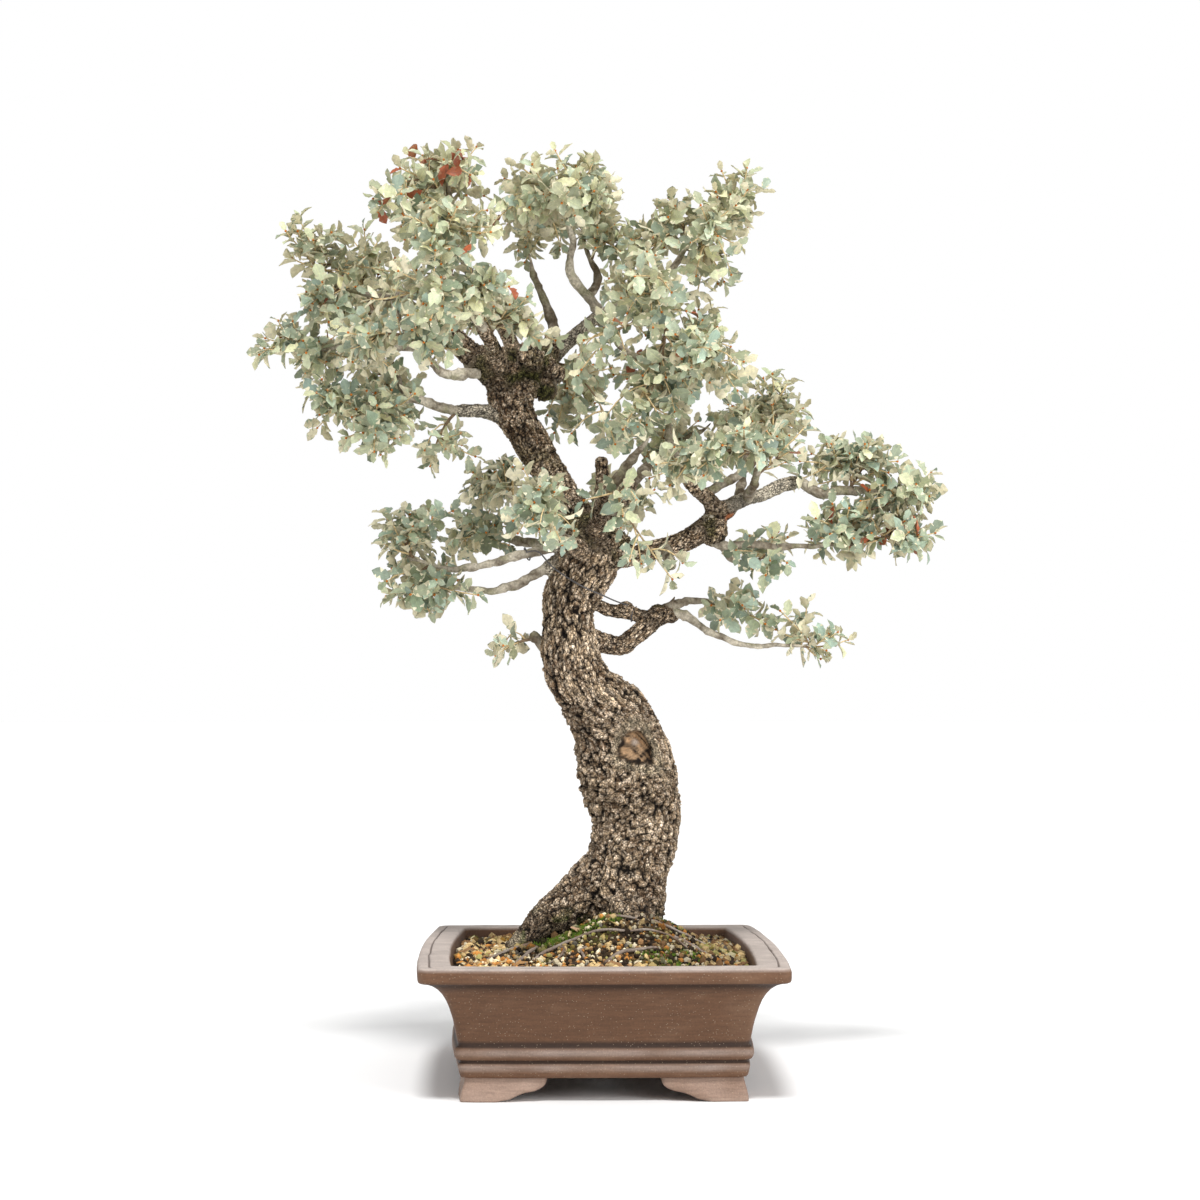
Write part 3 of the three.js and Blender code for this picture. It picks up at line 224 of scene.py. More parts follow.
# Leafy sprays, one row each: their tips as [across, up, depth], the stem's own tip first.
SPRAYS = [
    [[-128, 748, 0], [-142, 736, 25], [-108, 737, -35]],
    [[-165, 742, -30], [-184, 706, -70]],
    [[-67, 745, 20], [-63, 722, 55], [-88, 698, -12]],
    [[-16, 742, -10], [7, 732, 20], [-32, 714, -45]],
    [[12, 696, 20], [-7, 714, 60]],
    [[-44, 726, 90], [-69, 701, 110], [-60, 665, 70]],
    [[-125, 704, -130], [-147, 689, -150], [-89, 693, -130]],
    [[-245, 673, 0], [-222, 688, -20]],
    [[-200, 663, 80], [-181, 681, 100]],
    [[-135, 722, 95], [-110, 685, 155], [-135, 669, 160]],
    [[-143, 617, -165], [-159, 660, -150], [-184, 644, -130]],
    [[-94, 648, -105], [-114, 632, -125]],
    [[-112, 626, 128], [-98, 640, 110]],
    [[-176, 632, 115], [-204, 603, 85]],
    [[-237, 625, -15], [-213, 632, -35]],
    [[-262, 601, 0], [-245, 587, 15]],
    [[-209, 603, -80], [-192, 587, -60]],
    [[-225, 555, 0], [-214, 540, 15]],
    [[-184, 562, 50], [-151, 529, 45]],
    [[-195, 523, -30], [-184, 545, -40]],
    [[-139, 496, 8], [-114, 513, 12]],
    [[-136, 602, -78], [-146, 616, -95]],
    [[-76, 626, -55], [-58, 618, -40]],
    [[-14, 600, -75], [-16, 576, -70]],
    [[122, 734, 20], [112, 710, 15]],
    [[58, 718, 35], [46, 693, 15]],
    [[93, 699, -20], [79, 663, 5]],
    [[38, 673, -60], [57, 640, -110], [42, 611, -100]],
    [[30, 656, 95], [50, 640, 110]],
    [[93, 625, -20], [108, 595, 10]],
    [[79, 591, -120], [116, 566, -90]],
    [[149, 545, 30], [136, 568, 20], [161, 529, 50]],
    [[75, 562, 110], [21, 587, 110]],
    [[-3, 562, 60], [-17, 537, 60], [12, 514, -40]],
    [[42, 554, -70], [30, 529, -95], [66, 540, -50]],
    [[120, 533, 130], [136, 513, 150]],
    [[157, 509, -60], [136, 525, -90], [112, 522, -50]],
    [[99, 513, -130], [54, 496, -110], [40, 486, -85]],
    [[60, 520, 124], [83, 500, 90]],
    [[218, 504, 0], [245, 500, -15], [190, 500, 25], [166, 500, -10]],
    [[268, 477, 5], [224, 461, 20]],
    [[261, 441, 0], [251, 455, 15], [256, 427, -12]],
    [[208, 447, 22], [190, 440, -24]],
    [[144, 431, 50], [136, 406, -40], [112, 426, -30]],
    [[186, 344, 0], [165, 357, 20], [149, 376, -10]],
    [[112, 381, 40], [99, 369, -20], [136, 366, 0]],
    [[-166, 441, 0], [-147, 431, 25], [-122, 458, -30]],
    [[-77, 480, 10], [-99, 468, 35]],
    [[-53, 476, -85], [-73, 451, -105], [-34, 431, -140]],
    [[-102, 443, 95], [-118, 422, 110]],
    [[-163, 387, 0], [-140, 376, -15], [-131, 402, 40]],
    [[-85, 340, -10]],
    [[17, 455, -115], [57, 403, -110]],
    [[5, 468, 110], [25, 451, 130]],
]

# Open sprays that let the light through, counted from 0, and the middle that the others grow round.
SPARSE = (20, 23, 36, 43, 44, 45, 51, 52)
CROWN_MIDDLE = (-20, 560, 0)

# Sprays with rust-red dead leaves, and how many of their leaves are dead.
DEAD_SHARE = {1: 0.08, 2: 0.04, 24: 0.03, 33: 0.03, 42: 0.06}

# The guy wire's free run, and where it loops round branches.
WIRE_RADIUS = 0.6
WIRE_RUN = [
    [-51, 425, -26], [-40, 413, -34], [-26, 403, -37], [-12, 395, -36], [0, 390, -27], [14, 384, -8],
]


def srgb(red, green, blue):
    """The linear colour of a screen colour in 0 to 255."""
    c = np.array([red, green, blue]) / 255
    return np.where(c <= 0.04045, c / 12.92, ((c + 0.055) / 1.055) ** 2.4)


def seen(place):
    """The real place, in millimetres, of [across, up, depth] laid out from the eye."""
    scale = 1 + place[2] / EYE_DISTANCE
    return np.array([place[0] * scale, place[2], EYE_HEIGHT + (place[1] - EYE_HEIGHT) * scale], float)


def unit(v):
    """Vectors at length one."""
    return v / np.maximum(np.linalg.norm(v, axis=-1, keepdims=True), 1e-9)


def step(low, high, value):
    """A smooth rise from 0 at low to 1 at high."""
    t = np.clip((value - low) / (high - low), 0, 1)
    return t * t * (3 - 2 * t)


def blended(paint, tone, share):
    """The paint moved towards a tone by a share for each point."""
    share = np.clip(share, 0, 1)[:, None]
    return paint * (1 - share) + tone * share


# Repeatable noise: a draw for each whole-number place, from large odd factors.

PLACE_FACTORS = (374761393, 668265263, 1442695041)
SEED_FACTOR = 974634777
MIXING = ((13, 1274126177), (16, 2246822519))
FAR_CORNER = 1000


def hashed(cell, seed):
    """A repeatable draw from 0 to 1 for each whole-number place."""
    h = sum(cell[:, axis] * factor for axis, factor in enumerate(PLACE_FACTORS)) + seed * SEED_FACTOR
    h &= 0xFFFFFFFF
    for shift, factor in MIXING:
        h = ((h ^ (h >> shift)) * factor) & 0xFFFFFFFF
    return ((h ^ (h >> 15)) & 0xFFFFFF) / 0x1000000


def noise(points, size, seed):
    """Smooth noise from -1 to 1 with lumps of a size."""
    q = points / size + FAR_CORNER
    base = np.floor(q).astype(np.int64)
    f = q - base
    f = f * f * (3 - 2 * f)
    total = np.zeros(len(q))
    for corner in product((0, 1), repeat=3):
        weight = np.prod(np.where(np.array(corner) == 1, f, 1 - f), axis=1)
        total += weight * hashed(base + corner, seed)
    return 2 * total - 1


def shaken(points, size, seeds):
    """Noise in three directions, from three seeds."""
    return np.stack([noise(points, size, seed) for seed in seeds], axis=1)


def cells(points, seed):
    """For cells of size 1: how far each point is from its cell's border and middle, and the cell's draw."""
    q = points + FAR_CORNER
    base = np.floor(q).astype(np.int64)
    first = np.full(len(q), 9.0)
    second = first.copy()
    tag = np.zeros(len(q))
    away = np.zeros((len(q), 3))
    for offset in product((-1, 0, 1), repeat=3):
        cell = base + offset
        centre = cell + 0.1 + 0.8 * np.stack([hashed(cell, seed + k) for k in (1, 2, 3)], axis=1)
        far = np.linalg.norm(q - centre, axis=1)
        closer = far < first
        second = np.where(closer, first, np.minimum(second, far))
        tag = np.where(closer, hashed(cell, seed + 4), tag)
        away = np.where(closer[:, None], q - centre, away)
        first = np.where(closer, far, first)
    return second - first, tag, away


# Meshes.


def make_piece(name, points, faces, materials, paint=None, face_material=None, smooth=True, uv=None):
    """A mesh object from points in millimetres and a list of face arrays, with a painted colour."""
    mesh = bpy.data.meshes.new(name)
    faces = [np.asarray(f, np.int64) for f in faces if len(f)]
    loops = np.concatenate([f.ravel() for f in faces])
    sizes = np.concatenate([np.full(len(f), f.shape[1]) for f in faces])
    starts = np.concatenate([[0], np.cumsum(sizes)[:-1]])
    mesh.vertices.add(len(points))
    mesh.vertices.foreach_set("co", (np.asarray(points) * MM).astype(np.float32).ravel())
    mesh.loops.add(len(loops))
    mesh.loops.foreach_set("vertex_index", loops.astype(np.int32))
    mesh.polygons.add(len(sizes))
    mesh.polygons.foreach_set("loop_start", starts.astype(np.int32))
    if face_material is not None:
        mesh.polygons.foreach_set("material_index", np.asarray(face_material, np.int32))
    mesh.update(calc_edges=True)
    mesh.validate()
    mesh.polygons.foreach_set("use_smooth", np.full(len(mesh.polygons), smooth))
    if paint is not None:
        colour = np.ones((len(points), 4), np.float32)
        colour[:, :3] = paint
        layer = mesh.color_attributes.new("paint", "FLOAT_COLOR", "POINT")
        layer.data.foreach_set("color", colour.ravel())
    if uv is not None:
        layer = mesh.uv_layers.new(name="across_along")
        layer.data.foreach_set("uv", uv[loops].astype(np.float32).ravel())
    for material in materials:
        mesh.materials.append(material)
    piece = bpy.data.objects.new(name, mesh)
    bpy.context.scene.collection.objects.link(piece)
    return piece


def dress(piece, slot, *nodes):
    """The piece moves with the part and stands for the nodes; its slot is not used."""
    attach(piece, "root")
    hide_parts(*nodes)


def modified(piece):
    """A new mesh of the piece with its modifiers applied."""
    return bpy.data.meshes.new_from_object(piece.evaluated_get(bpy.context.evaluated_depsgraph_get()))


def smooth_path(places, radii, spacing):
    """A curve through the places, with a row about every spacing: the rows and their radii."""
    places = np.asarray(places, float)
    ends = np.vstack([2 * places[0] - places[1], places, 2 * places[-1] - places[-2]])
    rows, sizes = [], []
    for i in range(len(places) - 1):
        p0, p1, p2, p3 = ends[i:i + 4]
        count = max(1, math.ceil(np.linalg.norm(p2 - p1) / spacing))
        t = (np.arange(count) / count)[:, None]
        rows.append(0.5 * (2 * p1 + (p2 - p0) * t + (2 * p0 - 5 * p1 + 4 * p2 - p3) * t ** 2
                           + (3 * p1 - p0 - 3 * p2 + p3) * t ** 3))
        sizes.append(radii[i] + (radii[i + 1] - radii[i]) * t[:, 0])
    rows.append(places[-1:])
    sizes.append(np.array([radii[-1]], float))
    return np.vstack(rows), np.concatenate(sizes)


def spans(rows):
    """The lengths from each row to the next."""
    return np.linalg.norm(np.diff(rows, axis=0), axis=1)


def travelled(rows):
    """How far along its curve each row lies."""
    return np.concatenate([[0], np.cumsum(spans(rows))])


def frames(rows):
    """The direction along the rows and two square to it, carried along without twist."""
    along = unit(np.gradient(rows, axis=0))
    across = np.zeros_like(along)
    guess = np.array([1.0, 0, 0]) if abs(along[0, 0]) < 0.8 else np.array([0, 0, 1.0])
    for i in range(len(rows)):
        guess = guess - along[i] * np.dot(guess, along[i])
        guess = guess / np.linalg.norm(guess)
        across[i] = guess
    return along, across, np.cross(along, across)


def ring_faces(rings, count):
    """Quads between closed rings of points, and a fan at each end to the two points after the rings."""
    i = np.arange(rings - 1)[:, None] * count
    j = np.arange(count)
    k = (j + 1) % count
    quads = np.stack([i + j, i + k, i + count + k, i + count + j], axis=-1).reshape(-1, 4)
    last = (rings - 1) * count
    fans = np.vstack([np.column_stack([k, j, np.full(count, rings * count)]),
                      np.column_stack([last + j, last + k, np.full(count, rings * count + 1)])])
    return quads, fans


TUBE_END = 0.4


def tube(rows, radii, sides):
    """Points, quads and end triangles of a closed tube along the rows, with blunt points for ends."""
    along, across, other = frames(rows)
    turn = (np.arange(sides) / sides * 2 * np.pi)[:, None]
    out = np.cos(turn) * across[:, None] + np.sin(turn) * other[:, None]
    ring = rows[:, None] + np.asarray(radii)[:, None, None] * out
    points = np.vstack([ring.reshape(-1, 3), rows[:1] - along[:1] * radii[0] * TUBE_END,
                        rows[-1:] + along[-1:] * radii[-1] * TUBE_END])
    return points, *ring_faces(len(rows), sides)


def for_tube(rows, sides):
    """A value of each row for all the points of a tube with so many sides."""
    return np.vstack([np.repeat(rows, sides, axis=0), rows[:1], rows[-1:]])


def lumpy(points, rows, sides, depth, size, seed):
    """The points of a tube moved in and out from its rows by noise."""
    middle = for_tube(rows, sides)
    return middle + (points - middle) * (1 + depth * noise(points, size, seed))[:, None]


class Heap:
    """Points, quads and triangles gathered into one mesh."""

    def __init__(self):
        self.points, self.quads, self.triangles, self.paint = [], [], [], []
        self.count = 0

    def add(self, points, quads, triangles, paint=None):
        """Takes in the points and faces of one form."""
        self.points.append(points)
        if len(quads):
            self.quads.append(quads + self.count)
        if len(triangles):
            self.triangles.append(triangles + self.count)
        if paint is not None:
            self.paint.append(np.broadcast_to(paint, (len(points), 3)))
        self.count += len(points)

    def arrays(self):
        """The gathered points, quads and triangles."""
        return np.vstack(self.points), np.vstack(self.quads), np.vstack(self.triangles)

    def painted(self, name, material):
        """The gathered mesh as a piece of one material."""
        points, quads, triangles = self.arrays()
        return make_piece(name, points, [quads, triangles], [material], np.vstack(self.paint))


def ball(centre, radius, detail=3):
    """Points and triangles of a round lump."""
    shape = bmesh.new()
    bmesh.ops.create_icosphere(shape, subdivisions=detail, radius=1)
    shape.verts.ensure_lookup_table()
    points = np.array([v.co for v in shape.verts])
    triangles = np.array([[v.index for v in f.verts] for f in shape.faces])
    shape.free()
    return points * radius + np.asarray(centre), triangles


# Materials.


class Look:
    """A material that starts from the mesh's own paint."""

    def __init__(self, name, roughness, specular):
        self.material = bpy.data.materials.new(name)
        self.material.use_nodes = True
        self.tree = self.material.node_tree
        self.shader = self.tree.nodes["Principled BSDF"]
        self.shader.inputs["Roughness"].default_value = roughness
        self.shader.inputs["Specular IOR Level"].default_value = specular
        self.paint = self.node("ShaderNodeVertexColor", "Color", layer_name="paint")
        self.place = self.node("ShaderNodeTexCoord", "Object")

    def node(self, kind, output, sockets=(), **settings):
        """An output of a new node, whose sockets are linked or set."""
        node = self.tree.nodes.new(kind)
        for key, value in settings.items():
            setattr(node, key, value)
        for key, value in dict(sockets).items():
            if isinstance(value, bpy.types.NodeSocket):
                self.tree.links.new(value, node.inputs[key])
            else:
                node.inputs[key].default_value = value
        return node.outputs[output]

    def maths(self, operation, a, b=0.0):
        """The result of one step of arithmetic."""
        return self.node("ShaderNodeMath", "Value", {0: a, 1: b}, operation=operation)

    def ranged(self, value, start, end, low, high):
        """The value carried from start and end to low and high."""
        return self.node("ShaderNodeMapRange", "Result", {
            "Value": value, "From Min": start, "From Max": end, "To Min": low, "To Max": high})

    def mixed(self, colour, other, factor=1.0, blend="MULTIPLY"):
        """Two colours mixed into one, multiplied if nothing else is said."""
        sockets = {"Factor": factor, "A": colour, "B": other}
        return self.node("ShaderNodeMix", "Result", sockets, data_type="RGBA", blend_type=blend)

    def mottled(self, colour, place, scale, dark, light, detail=4):
        """The colour multiplied by noise that runs from dark to light, and the noise."""
        fac = self.node("ShaderNodeTexNoise", "Fac", {"Vector": place, "Scale": scale, "Detail": detail})
        return self.mixed(colour, self.ranged(fac, 0.3, 0.7, dark, light)), fac

    def done(self, tone, height=None, strength=0.0, distance=0.0):
        """The material with its tone, and relief from a height."""
        self.tree.links.new(tone, self.shader.inputs["Base Color"])
        if height is not None:
            sockets = {"Height": height, "Strength": strength, "Distance": distance}
            normal = self.node("ShaderNodeBump", "Normal", sockets)
            self.tree.links.new(normal, self.shader.inputs["Normal"])
        return self.material


def bark_material():
    """Corky bark: painted plates with a fine dark crackle along the grain."""
    look = Look("bark", 0.92, 0.2)
    grain = look.node("ShaderNodeAttribute", "Vector", attribute_name="grain")
    edge = look.node("ShaderNodeTexVoronoi", "Distance", {"Vector": grain, "Scale": 500},
                     feature="DISTANCE_TO_EDGE")
    crackle = look.ranged(edge, 0, 0.13, 0.3, 1.16)
    tone, height = look.mottled(look.mixed(look.paint, crackle), look.place, 950, 0.4, 1.85)
    return look.done(tone, look.maths("ADD", crackle, height), 1.0, 0.0013)


def plain_material(name, roughness, scale, dark, light, relief, specular=0.3):
    """A painted material with noise of a scale in its tone and relief."""
    look = Look(name, roughness, specular)
    tone, height = look.mottled(look.paint, look.place, scale, dark, light)
    return look.done(tone, height if relief else None, 0.6, relief)


def clay_material():
    """Unglazed clay: wiped streaks along the sides, and fine sand in it."""
    look = Look("unglazed_clay", 0.6, 0.32)
    squeezed = look.node("ShaderNodeMapping", "Vector", {"Vector": look.place, "Scale": (1, 1, 9)})
    streaked, streaks = look.mottled(look.paint, squeezed, 60, 0.86, 1.12)
    tone, grain = look.mottled(streaked, look.place, 700, 0.88, 1.1)
    sand = look.node("ShaderNodeTexVoronoi", "Distance", {"Vector": look.place, "Scale": 420})
    speck = look.ranged(sand, 0.16, 0.1, 0, 0.55)
    sandy = look.mixed(tone, (*srgb(176, 156, 132), 1), speck, "MIX")
    return look.done(sandy, look.maths("ADD", streaks, grain), 0.45, 0.0005)


def leaf_material(name, roughness, vein_tone, relief):
    """A leaf's face: its painted tone, with side veins that run up and out from the rib."""
    look = Look(name, roughness, 0.5)
    flat = look.node("ShaderNodeUVMap", "UV", uv_map="across_along")
    across = look.node("ShaderNodeSeparateXYZ", "X", {"Vector": flat})
    along = across.node.outputs["Y"]
    side = look.maths("ABSOLUTE", look.maths("SUBTRACT", across, 0.5))
    run = look.maths("SUBTRACT", look.maths("MULTIPLY", along, 8), look.maths("MULTIPLY", side, 7))
    wave = look.maths("ABSOLUTE", look.maths("SUBTRACT", look.maths("FRACT", run), 0.5))
    rib = look.maths("LESS_THAN", side, 0.035)
    vein = look.maths("MAXIMUM", look.maths("LESS_THAN", wave, 0.07), rib)
    veined = look.mixed(look.paint, (*vein_tone, 1), look.maths("MULTIPLY", vein, 0.8))
    tone, _ = look.mottled(veined, look.place, 350, 0.82, 1.14, 3)
    return look.done(tone, vein, 0.35, relief)


BARK = bark_material()
BARE_WOOD = plain_material("bare_wood", 0.75, 700, 0.7, 1.25, 0.0004)
TWIG = plain_material("twig_bark", 0.85, 520, 0.62, 1.3, 0.0006, 0.2)
CLAY = clay_material()
GRIT = plain_material("grit", 0.95, 900, 0.72, 1.25, 0.0004, 0.15)
EARTH = plain_material("earth", 1.0, 500, 0.5, 1.4, 0.001, 0.1)
MOSS = plain_material("moss", 0.95, 800, 0.6, 1.4, 0)
LEAF_TOP = leaf_material("leaf_top", 0.42, (1.25, 1.25, 1.12), 0.0002)
LEAF_UNDER = leaf_material("leaf_underside", 0.8, (1.1, 1.08, 0.98), 0.0003)
STEEL = plain_material("dark_wire", 0.4, 300, 0.8, 1.2, 0, 0.5)
PLASTIC = plain_material("drain_plastic", 0.6, 300, 0.9, 1.1, 0, 0.3)


# The wood.

# Runs thinner than this are smooth branches, and thicker ones are part of the barked skin.
THICK_RADIUS = 4.6
LIMB_SIDES = 28
LIMB_ROW = 4
LIMB_LUMPS = 26
BRANCH_SIDES = 10
BRANCH_ROW = 2.8
GRAIN_ROW = 3
BARK_VOXEL = 1.4
BARK_SPLIT = 428

# Heights over which the bark changes, and the radii between slim and thick limbs.
BULGE_TOP = (262, 312)
NARROWING = (262, 300)
CROWN_START = (440, 470)
SLIM_TO_THICK = (7, 16)
KNOTTY_BURLS = BURLS[:8]
BURL_EDGE = 6

# Plates: their width, how far they are stretched along the grain, and how much finer the second layer is.
PLATE_SIZE = 6.9
MIDDLE_NARROWER = 1.5
CROWN_NARROWER = 0.6
SLIM_SIZE = 0.62
BULGE_STRETCH = 1.2
MIDDLE_STRETCH = 2.5
CROWN_STRETCH = 1.9
BURL_STRETCH = 1.0
FINER = 2.3
SMOOTHING = 6
SKIN_SWELL = 0.5

# How far the bark stands out, in millimetres on a thick limb.
PLATE_RISE = 0.9
PLATE_TILT = 1.5
CRACK_DEPTH = 1.9
FINE_RISE = 0.9
FINE_TILT = 1.1
FINE_CRACK_DEPTH = 0.8
FLAKE_RISE = 2.2
FLAKY_PLACE = (-8, 232)
FLAKY_REACH = (12, 24)

PLATE_LIGHT = srgb(204, 190, 164)
PLATE_MID = srgb(124, 107, 86)
PLATE_WARM = srgb(120, 96, 74)
FLAKE_HIGHLIGHT = srgb(248, 240, 222)
FISSURE_AND_SHADE = srgb(25, 19, 15)
OLIVE = srgb(104, 102, 60)
CALLUS = srgb(178, 164, 138)
WOUND_WOOD = srgb(202, 166, 128)
WOUND_DARK = srgb(30, 21, 15)
WOUND_GREY = srgb(150, 148, 146)
TORN_WOOD = srgb(150, 92, 58)
PALE_BRANCH = srgb(208, 199, 180)
BROWN_BRANCH = srgb(98, 86, 70)
LICHEN = srgb(140, 138, 106)
MOSS_GREEN = srgb(74, 92, 30)
BARK_TINT = (1.05, 0.92, 0.83)
PALE_RUNS = ("left_low", "left_high", "left_arm", "left_up_arm", "crown_fork", "right_crown", "right_arm",
             "low_right")
CUT_RUNS = ("cut_stub", "centre_stub")
TORN_PLACE = (108, 452, -22)
TORN_SQUASH = (1, 0.6, 1)
ROOT_TIP = (-70, 108, -26)
FOOT_SHADOW = (112, 168)
FOOT_MOSS = (118, 140)
BURL_MOSS_FROM = 380
LIP_WIDTH = 3.4


def route(name):
    """A run of the wood as real places and radii."""
    run = WOOD[name]
    return np.array([seen(entry) for entry in run]), np.array([entry[3] for entry in run], float)


def of_trunk(name):
    """Whether a run is the trunk or one of its roots."""
    return name in ("trunk", "upper_trunk") or name.startswith("root")


def thick_runs():
    """The number, places and radii of each run, as far as it is thick."""
    for number, name in enumerate(WOOD):
        places, radii = route(name)
        thin = np.nonzero(radii < THICK_RADIUS)[0]
        keep = len(radii) if of_trunk(name) or not len(thin) else int(thin[0])
        if keep >= 2:
            yield number, places[:keep], radii[:keep]


def skinned(heap, voxel):
    """One closed skin over all the forms of a heap: its points, edges and quads."""
    points, quads, triangles = heap.arrays()
    piece = make_piece("form", points, [quads, triangles], [])
    skin = piece.modifiers.new("skin", "REMESH")
    skin.mode = "VOXEL"
    skin.voxel_size = voxel * MM
    mesh = modified(piece)
    bpy.data.objects.remove(piece)
    points = np.zeros(len(mesh.vertices) * 3)
    mesh.vertices.foreach_get("co", points)
    edges = np.zeros(len(mesh.edges) * 2, np.int64)
    mesh.edges.foreach_get("vertices", edges)
    loops = np.zeros(len(mesh.loops), np.int64)
    mesh.loops.foreach_get("vertex_index", loops)
    bpy.data.meshes.remove(mesh)
    return points.reshape(-1, 3) / MM, edges.reshape(-1, 2), loops.reshape(-1, 4)


def solid_wood():
    """One closed skin over the trunk, roots, burls and thick branches."""
    heap = Heap()
    for number, places, radii in thick_runs():
        rows, sizes = smooth_path(places, radii, LIMB_ROW)
        points, quads, triangles = tube(rows, sizes, LIMB_SIDES)
        heap.add(lumpy(points, rows, LIMB_SIDES, 0.07, LIMB_LUMPS, number), quads, triangles)
    for number, burl in enumerate(BURLS):
        points, triangles = ball((0, 0, 0), burl[3])
        points *= (1 + 0.12 * noise(points, burl[3] * 0.9, number))[:, None]
        heap.add(points + seen(burl), [], triangles)
    return skinned(heap, BARK_VOXEL)


def smoothed(points, edges, rounds):
    """Points moved half the way to the middle of their neighbours, some rounds over."""
    count = np.bincount(edges.ravel(), minlength=len(points))[:, None]
    for _ in range(rounds):
        total = np.zeros_like(points)
        for axis in range(3):
            total[:, axis] = (np.bincount(edges[:, 0], points[edges[:, 1], axis], len(points))
                              + np.bincount(edges[:, 1], points[edges[:, 0], axis], len(points)))
        points = points + 0.5 * (total / count - points)
    return points


def outward(points, quads):
    """The skin's direction at each point."""
    a, b, c, d = (points[quads[:, k]] for k in range(4))
    face = np.cross(c - a, d - b)
    total = np.zeros_like(points)
    for k in range(4):
        for axis in range(3):
            total[:, axis] += np.bincount(quads[:, k], face[:, axis], len(points))
    return unit(total)


def straightened(points, run_gap=500, chunk=4000):
    """Places along and round the nearest run: the grain of the wood, its radius and its run."""
    gathered = []
    for number, places, sizes in thick_runs():
        rows, radii = smooth_path(places, sizes, GRAIN_ROW)
        lengths = travelled(rows) + number * run_gap
        gathered.append((rows, radii, *frames(rows), lengths, np.full(len(rows), number)))
    stations, radii, alongs, acrosses, others, lengths, runs = (np.concatenate(v) for v in zip(*gathered))
    nearest = np.zeros(len(points), np.int64)
    for low in range(0, len(points), chunk):
        part = points[low:low + chunk]
        far = np.linalg.norm(part[:, None, :] - stations[None], axis=2) - radii[None]
        nearest[low:low + chunk] = np.argmin(far, axis=1)
    offset = points - stations[nearest]
    across, other, along = (np.sum(offset * axes[nearest], axis=1) for axes in (acrosses, others, alongs))
    return np.stack([across, other, lengths[nearest] + along], axis=1), radii[nearest], runs[nearest]


def leaning(lean, draw, turns=40):
    """How far a point is raised by the lean of its plate, in a direction drawn for the plate."""
    return lean[:, 0] * np.cos(draw * turns) + lean[:, 2] * np.sin(draw * turns)


def bark_plates(points, grain, radius):
    """Bark as cells laid along the grain: plates, finer plates on them, and the cracks between."""
    bark = SimpleNamespace()
    height = points[:, 2]
    # Long narrow plates up the middle of the trunk, many-sided ones on the bulge, small ones on burls.
    lower = 1 - step(*BULGE_TOP, height)
    bark.upper = step(*CROWN_START, height)
    middle = (1 - lower) * (1 - bark.upper)
    bark.stretch = BULGE_STRETCH * lower + MIDDLE_STRETCH * middle + CROWN_STRETCH * bark.upper
    size = PLATE_SIZE - MIDDLE_NARROWER * step(*NARROWING, height) - CROWN_NARROWER * bark.upper
    size = (size * (SLIM_SIZE + (1 - SLIM_SIZE) * step(*SLIM_TO_THICK, radius)))[:, None]
    burl_far = np.min([np.linalg.norm(points - seen(b), axis=1) - b[3] for b in KNOTTY_BURLS], axis=0)
    bark.on_burl = 1 - step(0, BURL_EDGE, burl_far)
    bark.stretch = bark.stretch * (1 - bark.on_burl) + BURL_STRETCH * bark.on_burl
    wobble = shaken(points, 11, (21, 22, 23)) * 2.2
    wobble += shaken(points, 3.6, (24, 25, 26)) * 0.9
    bark.laid = grain + wobble
    bark.laid[:, 2] /= bark.stretch
    bark.border, bark.plate, lean = cells(bark.laid / size, 3)
    fine_border, bark.fine_plate, fine_lean = cells(bark.laid / size * FINER, 9)
    bark.tilt = leaning(lean, bark.plate)
    bark.fine_tilt = leaning(fine_lean, bark.fine_plate)
    open_share = 0.45 + 0.6 * step(-0.35, 0.3, noise(points, 7, 40))
    bark.crack = (1 - step(0.01, 0.16, bark.border)) * open_share
    bark.fine_crack = (1 - step(0.0, 0.2, fine_border)) * (1.2 - 0.5 * open_share)
    return bark


def bark_relief(points, radius, bark):
    """How far the bark stands out at each point."""
    depth = np.clip(radius / 22, 0.3, 1)
    relief = depth * (PLATE_RISE * (bark.plate - 0.45) + PLATE_TILT * bark.tilt - CRACK_DEPTH * bark.crack
                      + FINE_RISE * (bark.fine_plate - 0.5) + FINE_TILT * bark.fine_tilt
                      - FINE_CRACK_DEPTH * bark.fine_crack)
    relief += depth * 1.2 * noise(points, LIMB_LUMPS, 5) + 0.35 * noise(points, 3.5, 6)
    relief += bark.on_burl * (1.2 * noise(points, 7, 14) + 0.8 * noise(points, 3.2, 13))
    # Flakes that stand off the left side of the bulge.
    away = (points[:, [0, 2]] - FLAKY_PLACE) / FLAKY_REACH
    flaky = np.exp(-away[:, 0] ** 2 - away[:, 1] ** 2)
    return relief + flaky * FLAKE_RISE * step(0.55, 0.8, bark.plate)


def old_cut(points):
    """The old cut: where each point lies from its middle, inside it and on its lip."""
    cut = SimpleNamespace()
    middle = seen(WOUND_CENTRE)
    cut.sideways = points[:, 0] - middle[0]
    cut.upward = points[:, 2] - middle[2]
    turn = np.arctan2(cut.upward, cut.sideways)
    uneven = 1 + 0.1 * np.sin(2 * turn + 0.9) + 0.12 * np.sin(3 * turn + 0.3) + 0.14 * noise(points, 7, 31)
    cut.ring = np.hypot(cut.sideways * 0.9, cut.upward * 1.02) * uneven
    front = (points[:, 1] < -6).astype(float)
    cut.inside = front * (1 - step(WOUND_RADIUS - 1.6, WOUND_RADIUS + 0.6, cut.ring))
    cut.lip = front * np.exp(-((cut.ring - WOUND_RADIUS - LIP_WIDTH) / LIP_WIDTH) ** 2)
    return cut


